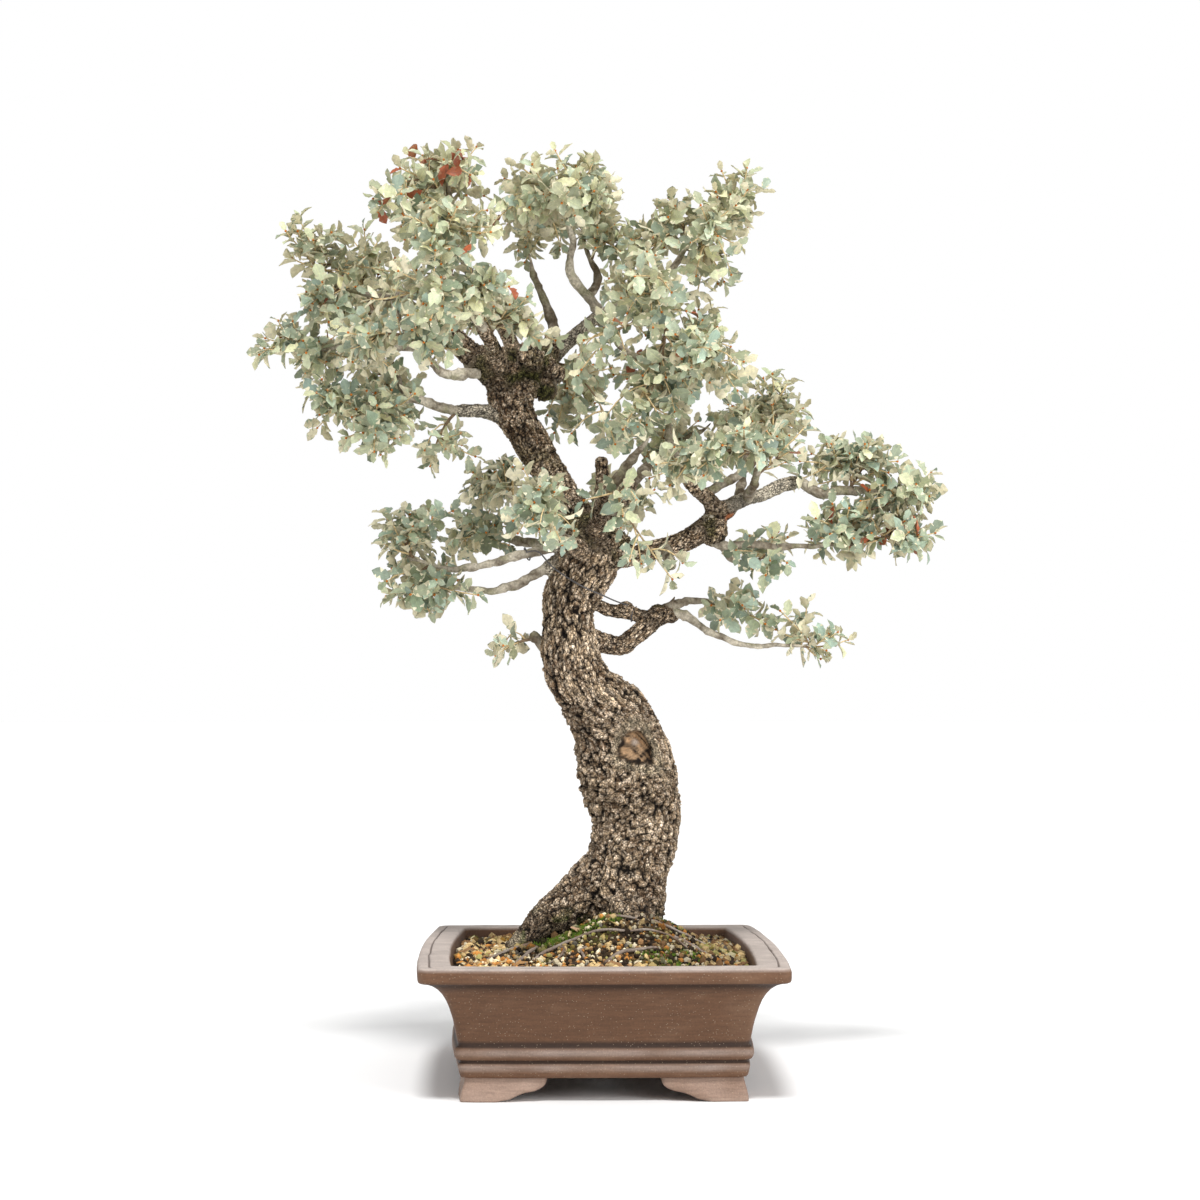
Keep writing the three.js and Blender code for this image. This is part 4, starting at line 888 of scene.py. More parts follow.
def hollowed(points, cut):
    """The points with the old cut sunk in, and a lip of callus round it."""
    bent = cut.upward + 0.7 * cut.sideways + 0.035 * cut.sideways ** 2
    cut.swirl = noise(np.stack([bent * 1.6, cut.sideways * 0.4, cut.ring * 0], axis=1), 2.3, 33)
    off_knot = np.hypot(cut.sideways + 0.5, (cut.upward - 5.5) * 1.3)
    cut.knot = step(5.0, 1.5, off_knot * (1 + 0.4 * noise(points, 3, 34)))
    hollow = step(WOUND_RADIUS, WOUND_RADIUS - 5, cut.ring)
    points[:, 1] += cut.inside * (4.5 + 6.0 * hollow - 3.0 * cut.knot + 2.2 * cut.swirl) - cut.lip * 2.6
    return points


def bark_paint(points, height, radius, run, bark, cut):
    """The tones of the plates, cracks, moss and pale young wood, with painted highlights and painted shade
    on the tilted plates, then the painted shadow and the moss at the foot.
    """
    tone = 0.1 + 0.75 * bark.plate + 0.25 * noise(points, 22, 7) + 0.7 * (bark.fine_plate - 0.5)
    paint = blended(PLATE_MID, PLATE_LIGHT, np.clip(tone, 0, 1) ** 1.2)
    paint = blended(paint, PLATE_WARM, step(0.0, 0.7, noise(points, 38, 8)) * 0.45)
    # Painted highlights on the raised edges of up-tilted plates.
    raised = 0.6 * step(0.1, 0.45, bark.tilt) * step(0.12, 0.3, bark.border)
    raised = raised + 0.8 * step(0.08, 0.4, bark.fine_tilt)
    paint = blended(paint, FLAKE_HIGHLIGHT, 0.95 * raised * (1 - 0.3 * bark.on_burl))
    paint = paint * (1.07 + 0.03 * bark.upper - 0.06 * bark.on_burl)[:, None] * BARK_TINT
    mossy = bark.on_burl * (height > BURL_MOSS_FROM) * 0.75
    mossy = mossy + 0.45 * bark.upper * step(0, 0.6, noise(points, 30, 11))
    paint = blended(paint, OLIVE, mossy * step(-0.4, 0.5, noise(points, 9, 12)))
    # Dark in the cracks, partly the fissures' own colour and partly painted shade in them, and painted
    # shade on the low side of tilted plates.
    low_side_shade = step(0.15, -0.45, bark.tilt) * 0.4
    paint = blended(paint, FISSURE_AND_SHADE, bark.crack * 1.25 + bark.fine_crack * 0.6 + low_side_shade)
    paint = blended(paint, CALLUS, cut.lip * 0.55 * (1 - 0.8 * bark.fine_crack))
    pale_run = np.isin(run, [number for number, name in enumerate(WOOD) if name in PALE_RUNS])
    young = pale_run * step(9.5, 5.5, radius) * (1 - 0.6 * bark.crack) * 0.8
    paint = blended(paint, PALE_BRANCH * (0.8 + 0.25 * noise(points, 4, 95))[:, None], young)
    # Painted shadow over the foot of the trunk, low down by the soil.
    foot = 1 - step(*FOOT_SHADOW, height + 12 * noise(points, 16, 15))
    paint = blended(paint, FISSURE_AND_SHADE, 0.62 * foot)
    green = (1 - step(*FOOT_MOSS, height)) * step(0.25, 0.6, noise(points, 9, 16)) * (points[:, 1] < 10)
    return blended(paint, MOSS_GREEN, green * 0.6)


def cut_paint(points, cut):
    """The tones of the bare wood in the old cut: swirls, painted shade along its edge, a rift and a grey
    knot.
    """
    # Painted shade along the hollow's edge, strongest low and to the left.
    edge_shade = step(8, 12.5, cut.ring) * (0.45 + 0.75 * step(5, -5, cut.upward + 0.5 * cut.sideways))
    off_rift = np.abs(cut.upward + 5 - 0.9 * (cut.sideways - 6)) + noise(points, 4, 35)
    rift = step(3.2, 0.8, off_rift) * step(-2, 3, cut.sideways)
    bare = blended(WOUND_DARK, WOUND_WOOD, 0.72 + 0.9 * cut.swirl - edge_shade - 0.8 * rift)
    return blended(bare, WOUND_GREY, cut.knot * 0.65)


def make_trunk():
    """The barked skin of the trunk and thick limbs, in a lower and an upper piece."""
    points, edges, quads = solid_wood()
    points = smoothed(points, edges, SMOOTHING)
    points += outward(points, quads) * SKIN_SWELL
    grain, radius, run = straightened(points)
    normal = outward(points, quads)
    height = points[:, 2]
    bark = bark_plates(points, grain, radius)
    cut = old_cut(points)
    relief = bark_relief(points, radius, bark) * (1 - cut.inside) * (1 - 0.4 * cut.lip)
    points = hollowed(points + normal * relief[:, None], cut)
    paint = blended(bark_paint(points, height, radius, run, bark, cut), cut_paint(points, cut), cut.inside)
    torn = np.linalg.norm((points - seen(TORN_PLACE)) * TORN_SQUASH, axis=1)
    torn = (1 - step(3, 7, torn + 2.5 * noise(points, 5, 17))) * (points[:, 1] < -18)
    paint = blended(paint, TORN_WOOD, torn)
    tip = np.linalg.norm(points - seen(ROOT_TIP), axis=1)
    paint = blended(paint, CALLUS, step(9, 5, tip + 2 * noise(points, 4, 18)) * 0.6)

    smooth_wood = np.maximum(cut.inside, torn) > 0.5
    material = (smooth_wood[quads].sum(axis=1) > 2).astype(int)
    bark.laid[:, 2] *= bark.stretch / np.maximum(bark.stretch, BULGE_STRETCH)
    low = points[quads[:, 0], 2] < BARK_SPLIT
    for name, chosen in (("trunk_bark", low), ("crown_bark", ~low)):
        used, faces = np.unique(quads[chosen], return_inverse=True)
        piece = make_piece(name, points[used], [faces.reshape(-1, 4)], [BARK, BARE_WOOD], paint[used],
                           material[chosen])
        layer = piece.data.attributes.new("grain", "FLOAT_VECTOR", "POINT")
        layer.data.foreach_set("vector", (bark.laid[used] * MM).astype(np.float32).ravel())
        dress(piece, "bark", "trunk_and_branches")


def make_branches():
    """The thin runs of the wood, smooth and pale, knobby where old shoots left them."""
    heap = Heap()
    for number, name in enumerate(WOOD):
        if of_trunk(name):
            continue
        places, radii = route(name)
        if name not in CUT_RUNS:
            onward = unit(places[-1] - places[-2])
            places = np.vstack([places, places[-1] + onward * 7, places[-1] + onward * 15 + (0, 0, 3)])
            radii = np.append(radii, [radii[-1] * 0.7, 0.7])
        rows, sizes = smooth_path(places, radii, BRANCH_ROW)
        knobs = 1 + 0.30 * np.maximum(noise(rows, 8, number), 0) + 0.16 * noise(rows, 3.4, number + 50)
        start = step(THICK_RADIUS + 1.2, THICK_RADIUS - 0.2, sizes)
        slender = (0.78 + 0.14 * start) * (0.72 + 0.28 * step(2.2, 4.2, sizes))
        sizes = sizes * knobs * (1 if name == "cut_stub" else slender)
        rows = rows + shaken(rows, 11, (number + 60, number + 70, number + 80)) * 1.2
        points, quads, triangles = tube(rows, sizes, BRANCH_SIDES)
        points = lumpy(points, rows, BRANCH_SIDES, 0.16, 3.0, 92)
        pale = 0.62 if name in PALE_RUNS else 0.25
        patches = pale + 0.45 * noise(points, 9, 90) + 0.4 * noise(points, 2.6, 91)
        paint = blended(BROWN_BRANCH, PALE_BRANCH, patches)
        paint = blended(paint, LICHEN, step(0.2, 0.7, noise(points, 7, 93)) * 0.6)
        heap.add(points, quads, triangles, paint)
    dress(heap.painted("branches", TWIG), "bark", "trunk_and_branches")


# Leafy sprays.

SHOOT_WOOD = [name for name in WOOD if name != "trunk" and not name.startswith("root")]
STEM_RADIUS = 1.5
TIP_RADIUS = 0.6
SHOOT_RADIUS = 0.8
STEM_SIDES = 5
SHOOT_SIDES = 4
SHOOTS = 4
SPARSE_SHOOTS = 3
BUD_RADIUS = 1.15
LEAF_LENGTH = 15.5
LEAF_GAP = 4.5
SPARSE_GAP = 5.6
STEM_LEAFY = 44
SHOOT_LEAFY = 28
GOLDEN_TURN = 2.39996
FULL_TURN = 6.28
STEM_BROWN = srgb(128, 108, 86)
SHOOT_TAN = srgb(216, 192, 146)
BUD = srgb(196, 118, 52)
LEAF_GREEN = srgb(146, 157, 132)
LEAF_BLUE = srgb(136, 154, 142)
LEAF_YOUNG = srgb(202, 199, 160)
LEAF_DEEP = srgb(88, 102, 74)
FELT = srgb(238, 231, 204)
FELT_OLD = srgb(208, 200, 168)
DEAD = srgb(166, 88, 54)
FEW_DEAD = 0.002

# Half a leaf from its base to its tip: [along, half width, forward reach of the edge].
LEAF_ROWS = np.array([
    (0, 0.08, 0), (0.14, 0.62, 0), (0.34, 1.0, 0.04), (0.44, 0.78, 0), (0.62, 0.98, 0.05),
    (0.80, 0.66, 0.03), (1, 0.04, 0),
])
LEAF_COLUMNS = np.array([-1, 0, 1])
LEAF_POINTS = len(LEAF_ROWS) * len(LEAF_COLUMNS)
LEAF_STALK = 1.4
LEAF_THICKNESS = 0.22


def foothold(target, parts=6):
    """The place on the wood from which a stem to the target grows, set back towards the trunk."""
    best = None
    for name in SHOOT_WOOD:
        places, radii = route(name)
        spots, sizes, alongs, way, total = [], [], [], [], 0
        for i in range(len(places) - 1):
            length = np.linalg.norm(places[i + 1] - places[i])
            for k in range(0 if i == 0 else 1, parts + 1):
                spots.append(places[i] + (places[i + 1] - places[i]) * k / parts)
                sizes.append(radii[i] + (radii[i + 1] - radii[i]) * k / parts)
                alongs.append((places[i + 1] - places[i]) / length)
                way.append(total + length * k / parts)
            total += length
        far = np.linalg.norm(np.array(spots) - target, axis=1)
        if best is None or far.min() < best[0]:
            choice = int(np.argmin(far + 0.45 * np.array(way)))
            best = (far.min(), spots[choice], sizes[choice], alongs[choice], choice == len(spots) - 1)
    return best[1:]


def bend_at(start, control, end, t):
    """The place at a share of a bent run from start to end."""
    return (1 - t) ** 2 * start + 2 * t * (1 - t) * control + t ** 2 * end


def arc(start, control, end, rows):
    """A bent run of rows from start to end."""
    return bend_at(start, control, end, np.linspace(0, 1, rows)[:, None])


def spray_stems(tips):
    """The stem to the first tip and its forks to the others, as rows and radii."""
    targets = [seen(tip) for tip in tips]
    spot, radius, along, at_end = foothold(targets[0])
    reach = np.linalg.norm(targets[0] - spot)
    heading = (targets[0] - spot) / reach
    start = unit(along * (1 if at_end else 0.5) + heading)
    origin = spot + start * radius * 0.5
    control = origin + start * reach * 0.4
    base = min(STEM_RADIUS, radius * 0.8)
    rows = max(6, int(reach / 6))
    stems = [(arc(origin, control, targets[0], rows), np.linspace(base, TIP_RADIUS, rows))]
    for i, target in enumerate(targets[1:]):
        fork = bend_at(origin, control, targets[0], max(0.08, 0.5 - 0.13 * i))
        onward = unit(stems[0][0][-1] - fork)
        length = np.linalg.norm(target - fork)
        rows = max(5, int(length / 6))
        middle = fork + onward * length * 0.35
        stems.append((arc(fork, middle, target, rows), np.linspace(base * 0.65, TIP_RADIUS, rows)))
    return stems


def side_shoots(rows, draw, many):
    """Short leafy shoots from the outer part of a stem."""
    shoots = []
    length = np.sum(spans(rows))
    along, across, other = frames(rows)
    for i in range(many):
        back = (0.2 + 0.62 * (i + draw.uniform(0, 0.6)) / many) * min(1, 62 / length)
        share = 1 - min(0.85, back)
        index = min(int(share * (len(rows) - 1)), len(rows) - 2)
        turn = i * GOLDEN_TURN + draw.uniform(-0.5, 0.5) + length
        out = np.cos(turn) * across[index] + np.sin(turn) * other[index]
        lean = draw.uniform(0.75, 1.2)
        heading = unit(along[index] * np.cos(lean) + out * np.sin(lean) + np.array([0, 0, 0.22]))
        reach = draw.uniform(16, 32)
        end = rows[index] + heading * reach + np.array([0, 0, 0.16 * reach])
        end[2] = min(end[2], rows[-1, 2] + 13)
        control = rows[index] + heading * reach * 0.55
        shoots.append((arc(rows[index], control, end, 5), np.linspace(SHOOT_RADIUS, TIP_RADIUS * 0.8, 5)))
    return shoots


def leaf_places(rows, draw, leafy, gap):
    """Bases, directions, upper sides and lengths of the leaves on the leafy end of a shoot."""
    along, across, other = frames(rows)
    way = travelled(rows)
    leaves = []
    back, count = 0.0, 0
    turn = draw.uniform(0, FULL_TURN)
    while back < min(leafy, way[-1] * 0.92):
        place = way[-1] - back
        base = np.array([np.interp(place, way, rows[:, k]) for k in range(3)])
        index = min(int(np.searchsorted(way, place)), len(rows) - 1)
        out = np.cos(turn) * across[index] + np.sin(turn) * other[index]
        tilt = np.radians(38 + 30 * min(1, count / 3) + draw.uniform(-15, 17))
        rise = np.array([0, 0, draw.uniform(-0.1, 0.1)])
        heading = unit(along[index] * np.cos(tilt) + out * np.sin(tilt) + rise)
        upper = unit(along[index] + np.array([0, -0.1, 0.45]) + draw.normal(0, 0.42, 3))
        grown = (0.72 if count < 2 else 1.0) * draw.uniform(0.78, 1.16)
        leaves.append((base, heading, upper, LEAF_LENGTH * grown))
        turn += GOLDEN_TURN + draw.uniform(-0.25, 0.25)
        back += gap * (0.55 if count < 3 else 1) * draw.uniform(0.7, 1.3)
        count += 1
    return leaves


def leaf_mesh(leaves, draw):
    """The blades of many leaves: points, quads, which face each quad is on, and map coordinates."""
    count = len(leaves)
    base, heading, upper, length = (np.array(values) for values in zip(*leaves))
    upper = unit(upper - heading * np.sum(upper * heading, axis=1, keepdims=True))
    across = np.cross(heading, upper)
    base, heading, upper, across = (v[:, None, None, :] for v in (base, heading, upper, across))
    length = length[:, None, None]
    along, half, forward = (LEAF_ROWS[:, k][None, :, None] for k in range(3))
    column = LEAF_COLUMNS[None, None, :]
    wide = draw.uniform(0.24, 0.34, (count, 1, 1))
    fold = draw.uniform(0.15, 0.62, (count, 1, 1))
    droop = draw.uniform(-0.12, 0.42, (count, 1, 1))
    twist = draw.normal(0, 0.22, (count, 1, 1))
    phase = draw.uniform(0, FULL_TURN, (count, 1, 1))
    x = column * half * wide * length
    y = (along + forward * np.abs(column)) * length + LEAF_STALK
    wave = 0.035 * length * np.abs(column) * np.sin(along * 11 + phase + column * 1.7)
    z = np.abs(x) * fold - along ** 2 * length * droop + x * twist + wave
    middle = base + heading * y[..., None] + across * x[..., None] + upper * z[..., None]
    thick = upper * (LEAF_THICKNESS * (1 - np.abs(column)) * np.ones_like(x))[..., None]
    faces = [(middle + side * thick).reshape(count, LEAF_POINTS, 3) for side in (1, -1)]
    points = np.concatenate(faces, axis=1)
    columns = len(LEAF_COLUMNS)
    i = np.arange(len(LEAF_ROWS) - 1)[:, None] * columns
    j = np.arange(columns - 1)
    quad = np.stack([i + j, i + j + 1, i + j + columns + 1, i + j + columns], axis=-1).reshape(-1, 4)
    template = np.vstack([quad, quad[:, ::-1] + LEAF_POINTS])
    quads = (template[None] + (np.arange(count) * 2 * LEAF_POINTS)[:, None, None]).reshape(-1, 4)
    side = np.tile(np.repeat([0, 1], len(quad)), count)
    shape = (1, len(LEAF_ROWS), columns)
    flat = np.stack([np.broadcast_to((column + 1) / 2, shape), np.broadcast_to(along, shape)], axis=-1)
    return points.reshape(-1, 3), quads, side, np.tile(flat.reshape(-1, 2), (2 * count, 1))


def leaf_paint(count, draw, dead_share, youth):
    """Tones of the leaves' upper sides and undersides."""
    green = blended(LEAF_GREEN, LEAF_BLUE, draw.uniform(0, 1, count))
    green = blended(green, LEAF_DEEP, draw.normal(0.1, 0.42, count))
    green = blended(green, LEAF_YOUNG, youth + draw.normal(0, 0.25, count))
    green = green * draw.uniform(0.75, 1.7, count)[:, None]
    felt = blended(FELT, FELT_OLD, draw.uniform(0, 1, count))
    dead = draw.uniform(0, 1, count) < dead_share
    red = DEAD * draw.uniform(0.6, 1.35, count)[:, None]
    green = np.where(dead[:, None], red, green)
    felt = np.where(dead[:, None], red * 0.8 + felt * 0.15, felt)
    return np.repeat(np.stack([green, felt], axis=1), LEAF_POINTS, axis=1).reshape(-1, 3)


def make_spray(number, tips):
    """One leafy spray: stem, shoots, buds and leaves, fused as one piece."""
    draw = np.random.default_rng(100 + number)
    sparse = number in SPARSE
    heap = Heap()
    # Besides the tips that are laid out, most sprays get one or two more just below them.
    spread = draw.normal(0, 1, (2, 3)) * (15, 11, 17)
    spread[:, 1] = -np.abs(spread[:, 1])
    inward = (np.array(CROWN_MIDDLE) - np.array(tips)[:2]) * 0.12
    extra = [list(np.array(tip) + offset + back) for tip, offset, back in zip(tips, spread, inward)]
    gap = SPARSE_GAP if sparse else LEAF_GAP
    leaves = []
    for rows, radii in spray_stems(tips if sparse else tips + extra):
        grown = step(0.35, 0.95, np.linspace(0, 1, len(rows)))
        tone = for_tube(blended(STEM_BROWN, SHOOT_TAN, grown), STEM_SIDES)
        heap.add(*tube(rows, radii, STEM_SIDES), tone)
        shoots = side_shoots(rows, draw, SPARSE_SHOOTS if sparse else SHOOTS)
        leaves += leaf_places(rows, draw, STEM_LEAFY, gap)
        for shoot_rows, shoot_radii in shoots:
            heap.add(*tube(shoot_rows, shoot_radii, SHOOT_SIDES), SHOOT_TAN)
            leaves += leaf_places(shoot_rows, draw, SHOOT_LEAFY, gap)
        for shoot_rows, _ in [(rows, radii)] + shoots:
            tip = shoot_rows[-1] + unit(shoot_rows[-1] - shoot_rows[-2]) * 0.8
            points, triangles = ball(tip, BUD_RADIUS, 1)
            heap.add(points, [], triangles, BUD)
    # Higher leaves are younger.
    youth = np.clip([0.25 + (leaf[0][2] - 560) / 900 for leaf in leaves], 0.1, 0.5)
    woody, woody_quads, woody_triangles = heap.arrays()
    blades, quads, side, flat = leaf_mesh(leaves, draw)
    tones = leaf_paint(len(leaves), draw, DEAD_SHARE.get(number + 1, FEW_DEAD), youth)
    faces = [np.vstack([woody_quads, quads + len(woody)]), woody_triangles]
    material = np.concatenate([np.zeros(len(woody_quads)), side + 1, np.zeros(len(woody_triangles))])
    piece = make_piece(f"spray_{number + 1:02d}", np.vstack([woody, blades]), faces,
                       [TWIG, LEAF_TOP, LEAF_UNDER], np.vstack([*heap.paint, tones]), material,
                       uv=np.vstack([np.zeros((len(woody), 2)), flat]))
    dress(piece, "leaves", f"leafy_spray_{number + 1:02d}")


# The pot.

CLAY_BROWN = srgb(99, 69, 48)
CLAY_WORN = srgb(127, 98, 76)
CLAY_HIGHLIGHT = srgb(194, 182, 174)
CLAY_FOOT = srgb(158, 134, 119)
CLAY_DARK = srgb(50, 35, 27)

# The pot's profile as [inset, height], up the outside, over the rim and down the inside.
POT_PROFILE = [
    (42, 18), (34, 18), (32.0, 18.5), (30.9, 19.8), (30.3, 22), (29.8, 24.6), (29.3, 26.8), (29.5, 28.4),
    (30.5, 29.6), (31.1, 30.4), (30.2, 31.2), (28.4, 32.4), (27.2, 34.1), (26.6, 36.4), (26.6, 38.4),
    (27.3, 40.4), (28.6, 41.8), (29.5, 42.8), (29.5, 44.2), (28.9, 47), (28.2, 51), (27.3, 56), (26.2, 61),
    (24.7, 66), (23, 71.5), (20.8, 77), (18, 81.8), (14.6, 85.8), (10.6, 88.7), (6.4, 90.4), (2.6, 91.1),
    (0.9, 91.9), (0.2, 93.4), (0, 96), (0, 99.6), (0.5, 101.4), (1.6, 102.6), (3.2, 103), (5.2, 103.1),
    (7.4, 103), (8.1, 102.4), (8.5, 101.5), (9.0, 101.3), (9.5, 101.7), (9.9, 102.6), (10.6, 103),
    (14, 103.1), (18.5, 103.1), (22.4, 103), (23.9, 102.6), (24.7, 101.6), (25.2, 100), (26, 97),
    (27.6, 89), (30.6, 74), (33.6, 58), (35.6, 48), (37.2, 34), (37.6, 28), (39, 26), (60, 26), (95, 26),
]
CORNER_ROWS = 9
SIDE_ROWS = 26

# Parts of the pot: shares of its points, insets, and heights.
OUTSIDE_SHARE = 0.5
INSIDE_SHARE = 0.78
GROOVE_INSETS = (7, 11)
INNER_DARK_INSETS = (24.5, 38)
GROOVE_FROM = 101
UNEVEN_FROM = 19
RIM_FROM = 95
RIM_FACE = (100.5, 102.8)
UNDER_RIM_SHADOW = (84, 88, 91.4)
INNER_DARK_FADE = (101, 90)
INNER_DARK_FROM = 44

# The two bands as [height, width], painted with highlights, and the seams beside them as [low, high],
# painted with shade.
BANDS = [(37.5, 2.4), (26, 2.2)]
SEAMS = [(29.2, 31.4), (41.6, 44.6)]

# The plug that cuts a drainage hole.
PLUG_HEIGHT = 22
PLUG_LENGTH = 30
PLUG_SIDES = 40

# One leg of a foot, as [distance from the corner, height], from the corner along the ground and up.
FOOT_OUTLINE = [
    (0, 21), (0, 0), (28, 0), (33, 0.5), (38, 2), (42, 4), (46, 5.8), (51, 6.9), (56, 7.9), (61, 9.6),
    (64.5, 12.4), (65.8, 15.7), (65.8, 21),
]
FOOT_STRETCH = 1.25
FOOT_DEPTH = 18
FOOT_VOXEL = 2.0
FOOT_INSET = 31.4
FOOT_CORNER = (RIM_HALF_WIDTH - FOOT_INSET, RIM_HALF_LENGTH - FOOT_INSET)
FOOT_BOW = 0.9
CORNERS = {"back_right": (1, 1), "back_left": (-1, 1), "front_right": (1, -1), "front_left": (-1, -1)}


def pot_outline(inset):
    """The outline of the pot at an inset: bowed sides between rounded corners."""
    radius = np.maximum(CORNER_RADIUS - inset * 0.1, 4)
    corner_x, corner_y = RIM_HALF_WIDTH - inset - radius, RIM_HALF_LENGTH - inset - radius
    turns = np.linspace(0, np.pi / 2, CORNER_ROWS)
    outline = []
    for number, (sx, sy) in enumerate([(1, 1), (-1, 1), (-1, -1), (1, -1)]):
        for turn in (turns if number % 2 == 0 else turns[::-1]):
            x, y = corner_x + np.cos(turn) * radius, corner_y + np.sin(turn) * radius
            outline.append((sx * x, sy * y))
        for share in np.linspace(1, -1, SIDE_ROWS + 2)[1:-1]:
            bow = 1 - share * share
            x, y = share * corner_x, RIM_HALF_LENGTH - inset + SHORT_SIDE_BOW * bow
            if number % 2:
                x, y = RIM_HALF_WIDTH - inset + LONG_SIDE_BOW * bow, share * corner_y
            outline.append((sx * x, sy * y))
    return np.array(outline)


def outline_ring(inset, height):
    """The outline of the pot as points at a height."""
    outline = pot_outline(inset)
    return np.column_stack([outline, np.full(len(outline), height)])


def make_foot(sx, sy, name):
    """A cloud-shaped corner foot: two legs that meet at the corner, soft-edged as clay."""
    heap = Heap()
    for along_x in (True, False):
        outline = np.array(FOOT_OUTLINE) * (1 if along_x else FOOT_STRETCH, 1)
        middle = outline.mean(axis=0)
        order = [0, 2, 1] if along_x else [2, 0, 1]
        parts = [np.column_stack([part, np.full(len(part), float(depth))])[:, order]
                 for part in (outline, middle[None]) for depth in (0, FOOT_DEPTH)]
        quads, triangles = ring_faces(2, len(outline))
        if not along_x:
            quads, triangles = quads[:, ::-1], triangles[:, ::-1]
        heap.add(np.vstack(parts), quads, triangles)
    points, edges, quads = skinned(heap, FOOT_VOXEL)
    points = smoothed(points, edges, 5)
    # The outer faces lean in as they rise, and follow the bow of the pot's sides.
    taper = 3.2 * step(2, 18, points[:, 2]) - 0.6 * step(5, 0, points[:, 2])
    slope = step(FOOT_DEPTH, 0, points[:, :2])
    x = FOOT_CORNER[0] - points[:, 0] - taper * slope[:, 0]
    y = FOOT_CORNER[1] - points[:, 1] - taper * slope[:, 1]
    outer = step(FOOT_DEPTH + 2, FOOT_DEPTH - 4, points[:, :2])
    bow_x = LONG_SIDE_BOW * FOOT_BOW * (1 - (y / FOOT_CORNER[1]) ** 2) * outer[:, 0]
    bow_y = SHORT_SIDE_BOW * FOOT_BOW * (1 - (x / FOOT_CORNER[0]) ** 2) * outer[:, 1]
    placed = np.column_stack([sx * (x + bow_x), sy * (y + bow_y), points[:, 2]])
    placed += shaken(placed, 12, (72, 73, 74)) * (0.5, 0.5, 0.15)
    placed[:, 2] = np.maximum(placed[:, 2], 0)
    # Paler feet, palest at the bottom edge by the floor: partly dust and partly painted light reflected
    # from the floor.
    paler_share = 0.7 + 0.35 * noise(placed, 14, 71) + 0.4 * step(3, 0.6, placed[:, 2])
    paint = blended(CLAY_BROWN, CLAY_FOOT, paler_share)
    piece = make_piece(name, placed, [quads if sx * sy > 0 else quads[:, ::-1]], [CLAY], paint)
    dress(piece, "stoneware", "pot")


def between(values, low, high):
    """Which values lie between two others."""
    return (values > low) & (values < high)


def pot_paint(points, inset, groove):
    """Clay with worn spots, painted top light on the rim and painted highlights on the bands, painted shade
    in the groove, the seams and under the rim, and an inner wall darker towards the soil.
    """
    height = points[:, 2]
    place = np.arange(len(points)) / len(points)
    outside, inside = place < OUTSIDE_SHARE, place > INSIDE_SHARE
    paler_share = 0.5 * step(0.0, 0.8, noise(points, 34, 68)) + 0.35 * step(0.2, 0.8, noise(points, 8, 69))
    paint = blended(CLAY_BROWN, CLAY_WORN, paler_share * 0.7)
    # The rim's top face painted pale: painted top light.
    paint = blended(paint, CLAY_HIGHLIGHT, step(*RIM_FACE, height) * 0.85)
    # The inner wall darker towards the soil, fading out up to the rim.
    darkening = between(inset, *INNER_DARK_INSETS) * (height > INNER_DARK_FROM) * inside * step(*INNER_DARK_FADE, height) * 0.75
    paint = blended(paint, CLAY_DARK, darkening)
    # Painted shade in the rim's groove.
    paint = blended(paint, CLAY_DARK, (groove & (height < 102.6)) * 0.55)
    # Painted highlights along the two bands.
    bead_highlight = sum(np.exp(-((height - middle) / width) ** 2) for middle, width in BANDS)
    paint = blended(paint, CLAY_HIGHLIGHT, 0.42 * bead_highlight * outside * (0.7 + 0.5 * noise(points, 20, 70)))
    # Painted shade in the seams beside the bands, and a painted shadow just under the rim.
    seam = np.any([between(height, *seam) for seam in SEAMS], axis=0)
    under_rim_shadow = step(*UNDER_RIM_SHADOW[:2], height) * (height < UNDER_RIM_SHADOW[2])
    return blended(paint, CLAY_DARK, np.maximum(seam, under_rim_shadow) * outside * 0.9)


def drill(piece, y):
    """A drainage hole through the pot's floor."""
    bpy.ops.mesh.primitive_cylinder_add(vertices=PLUG_SIDES, radius=DRAIN_RADIUS * MM,
                                        depth=PLUG_LENGTH * MM, location=(0, y * MM, PLUG_HEIGHT * MM))
    plug = bpy.context.object
    hole = piece.modifiers.new("hole", "BOOLEAN")
    hole.operation = "DIFFERENCE"
    hole.solver = "EXACT"
    hole.object = plug
    mesh = modified(piece)
    piece.modifiers.clear()
    piece.data = mesh
    bpy.data.objects.remove(plug)


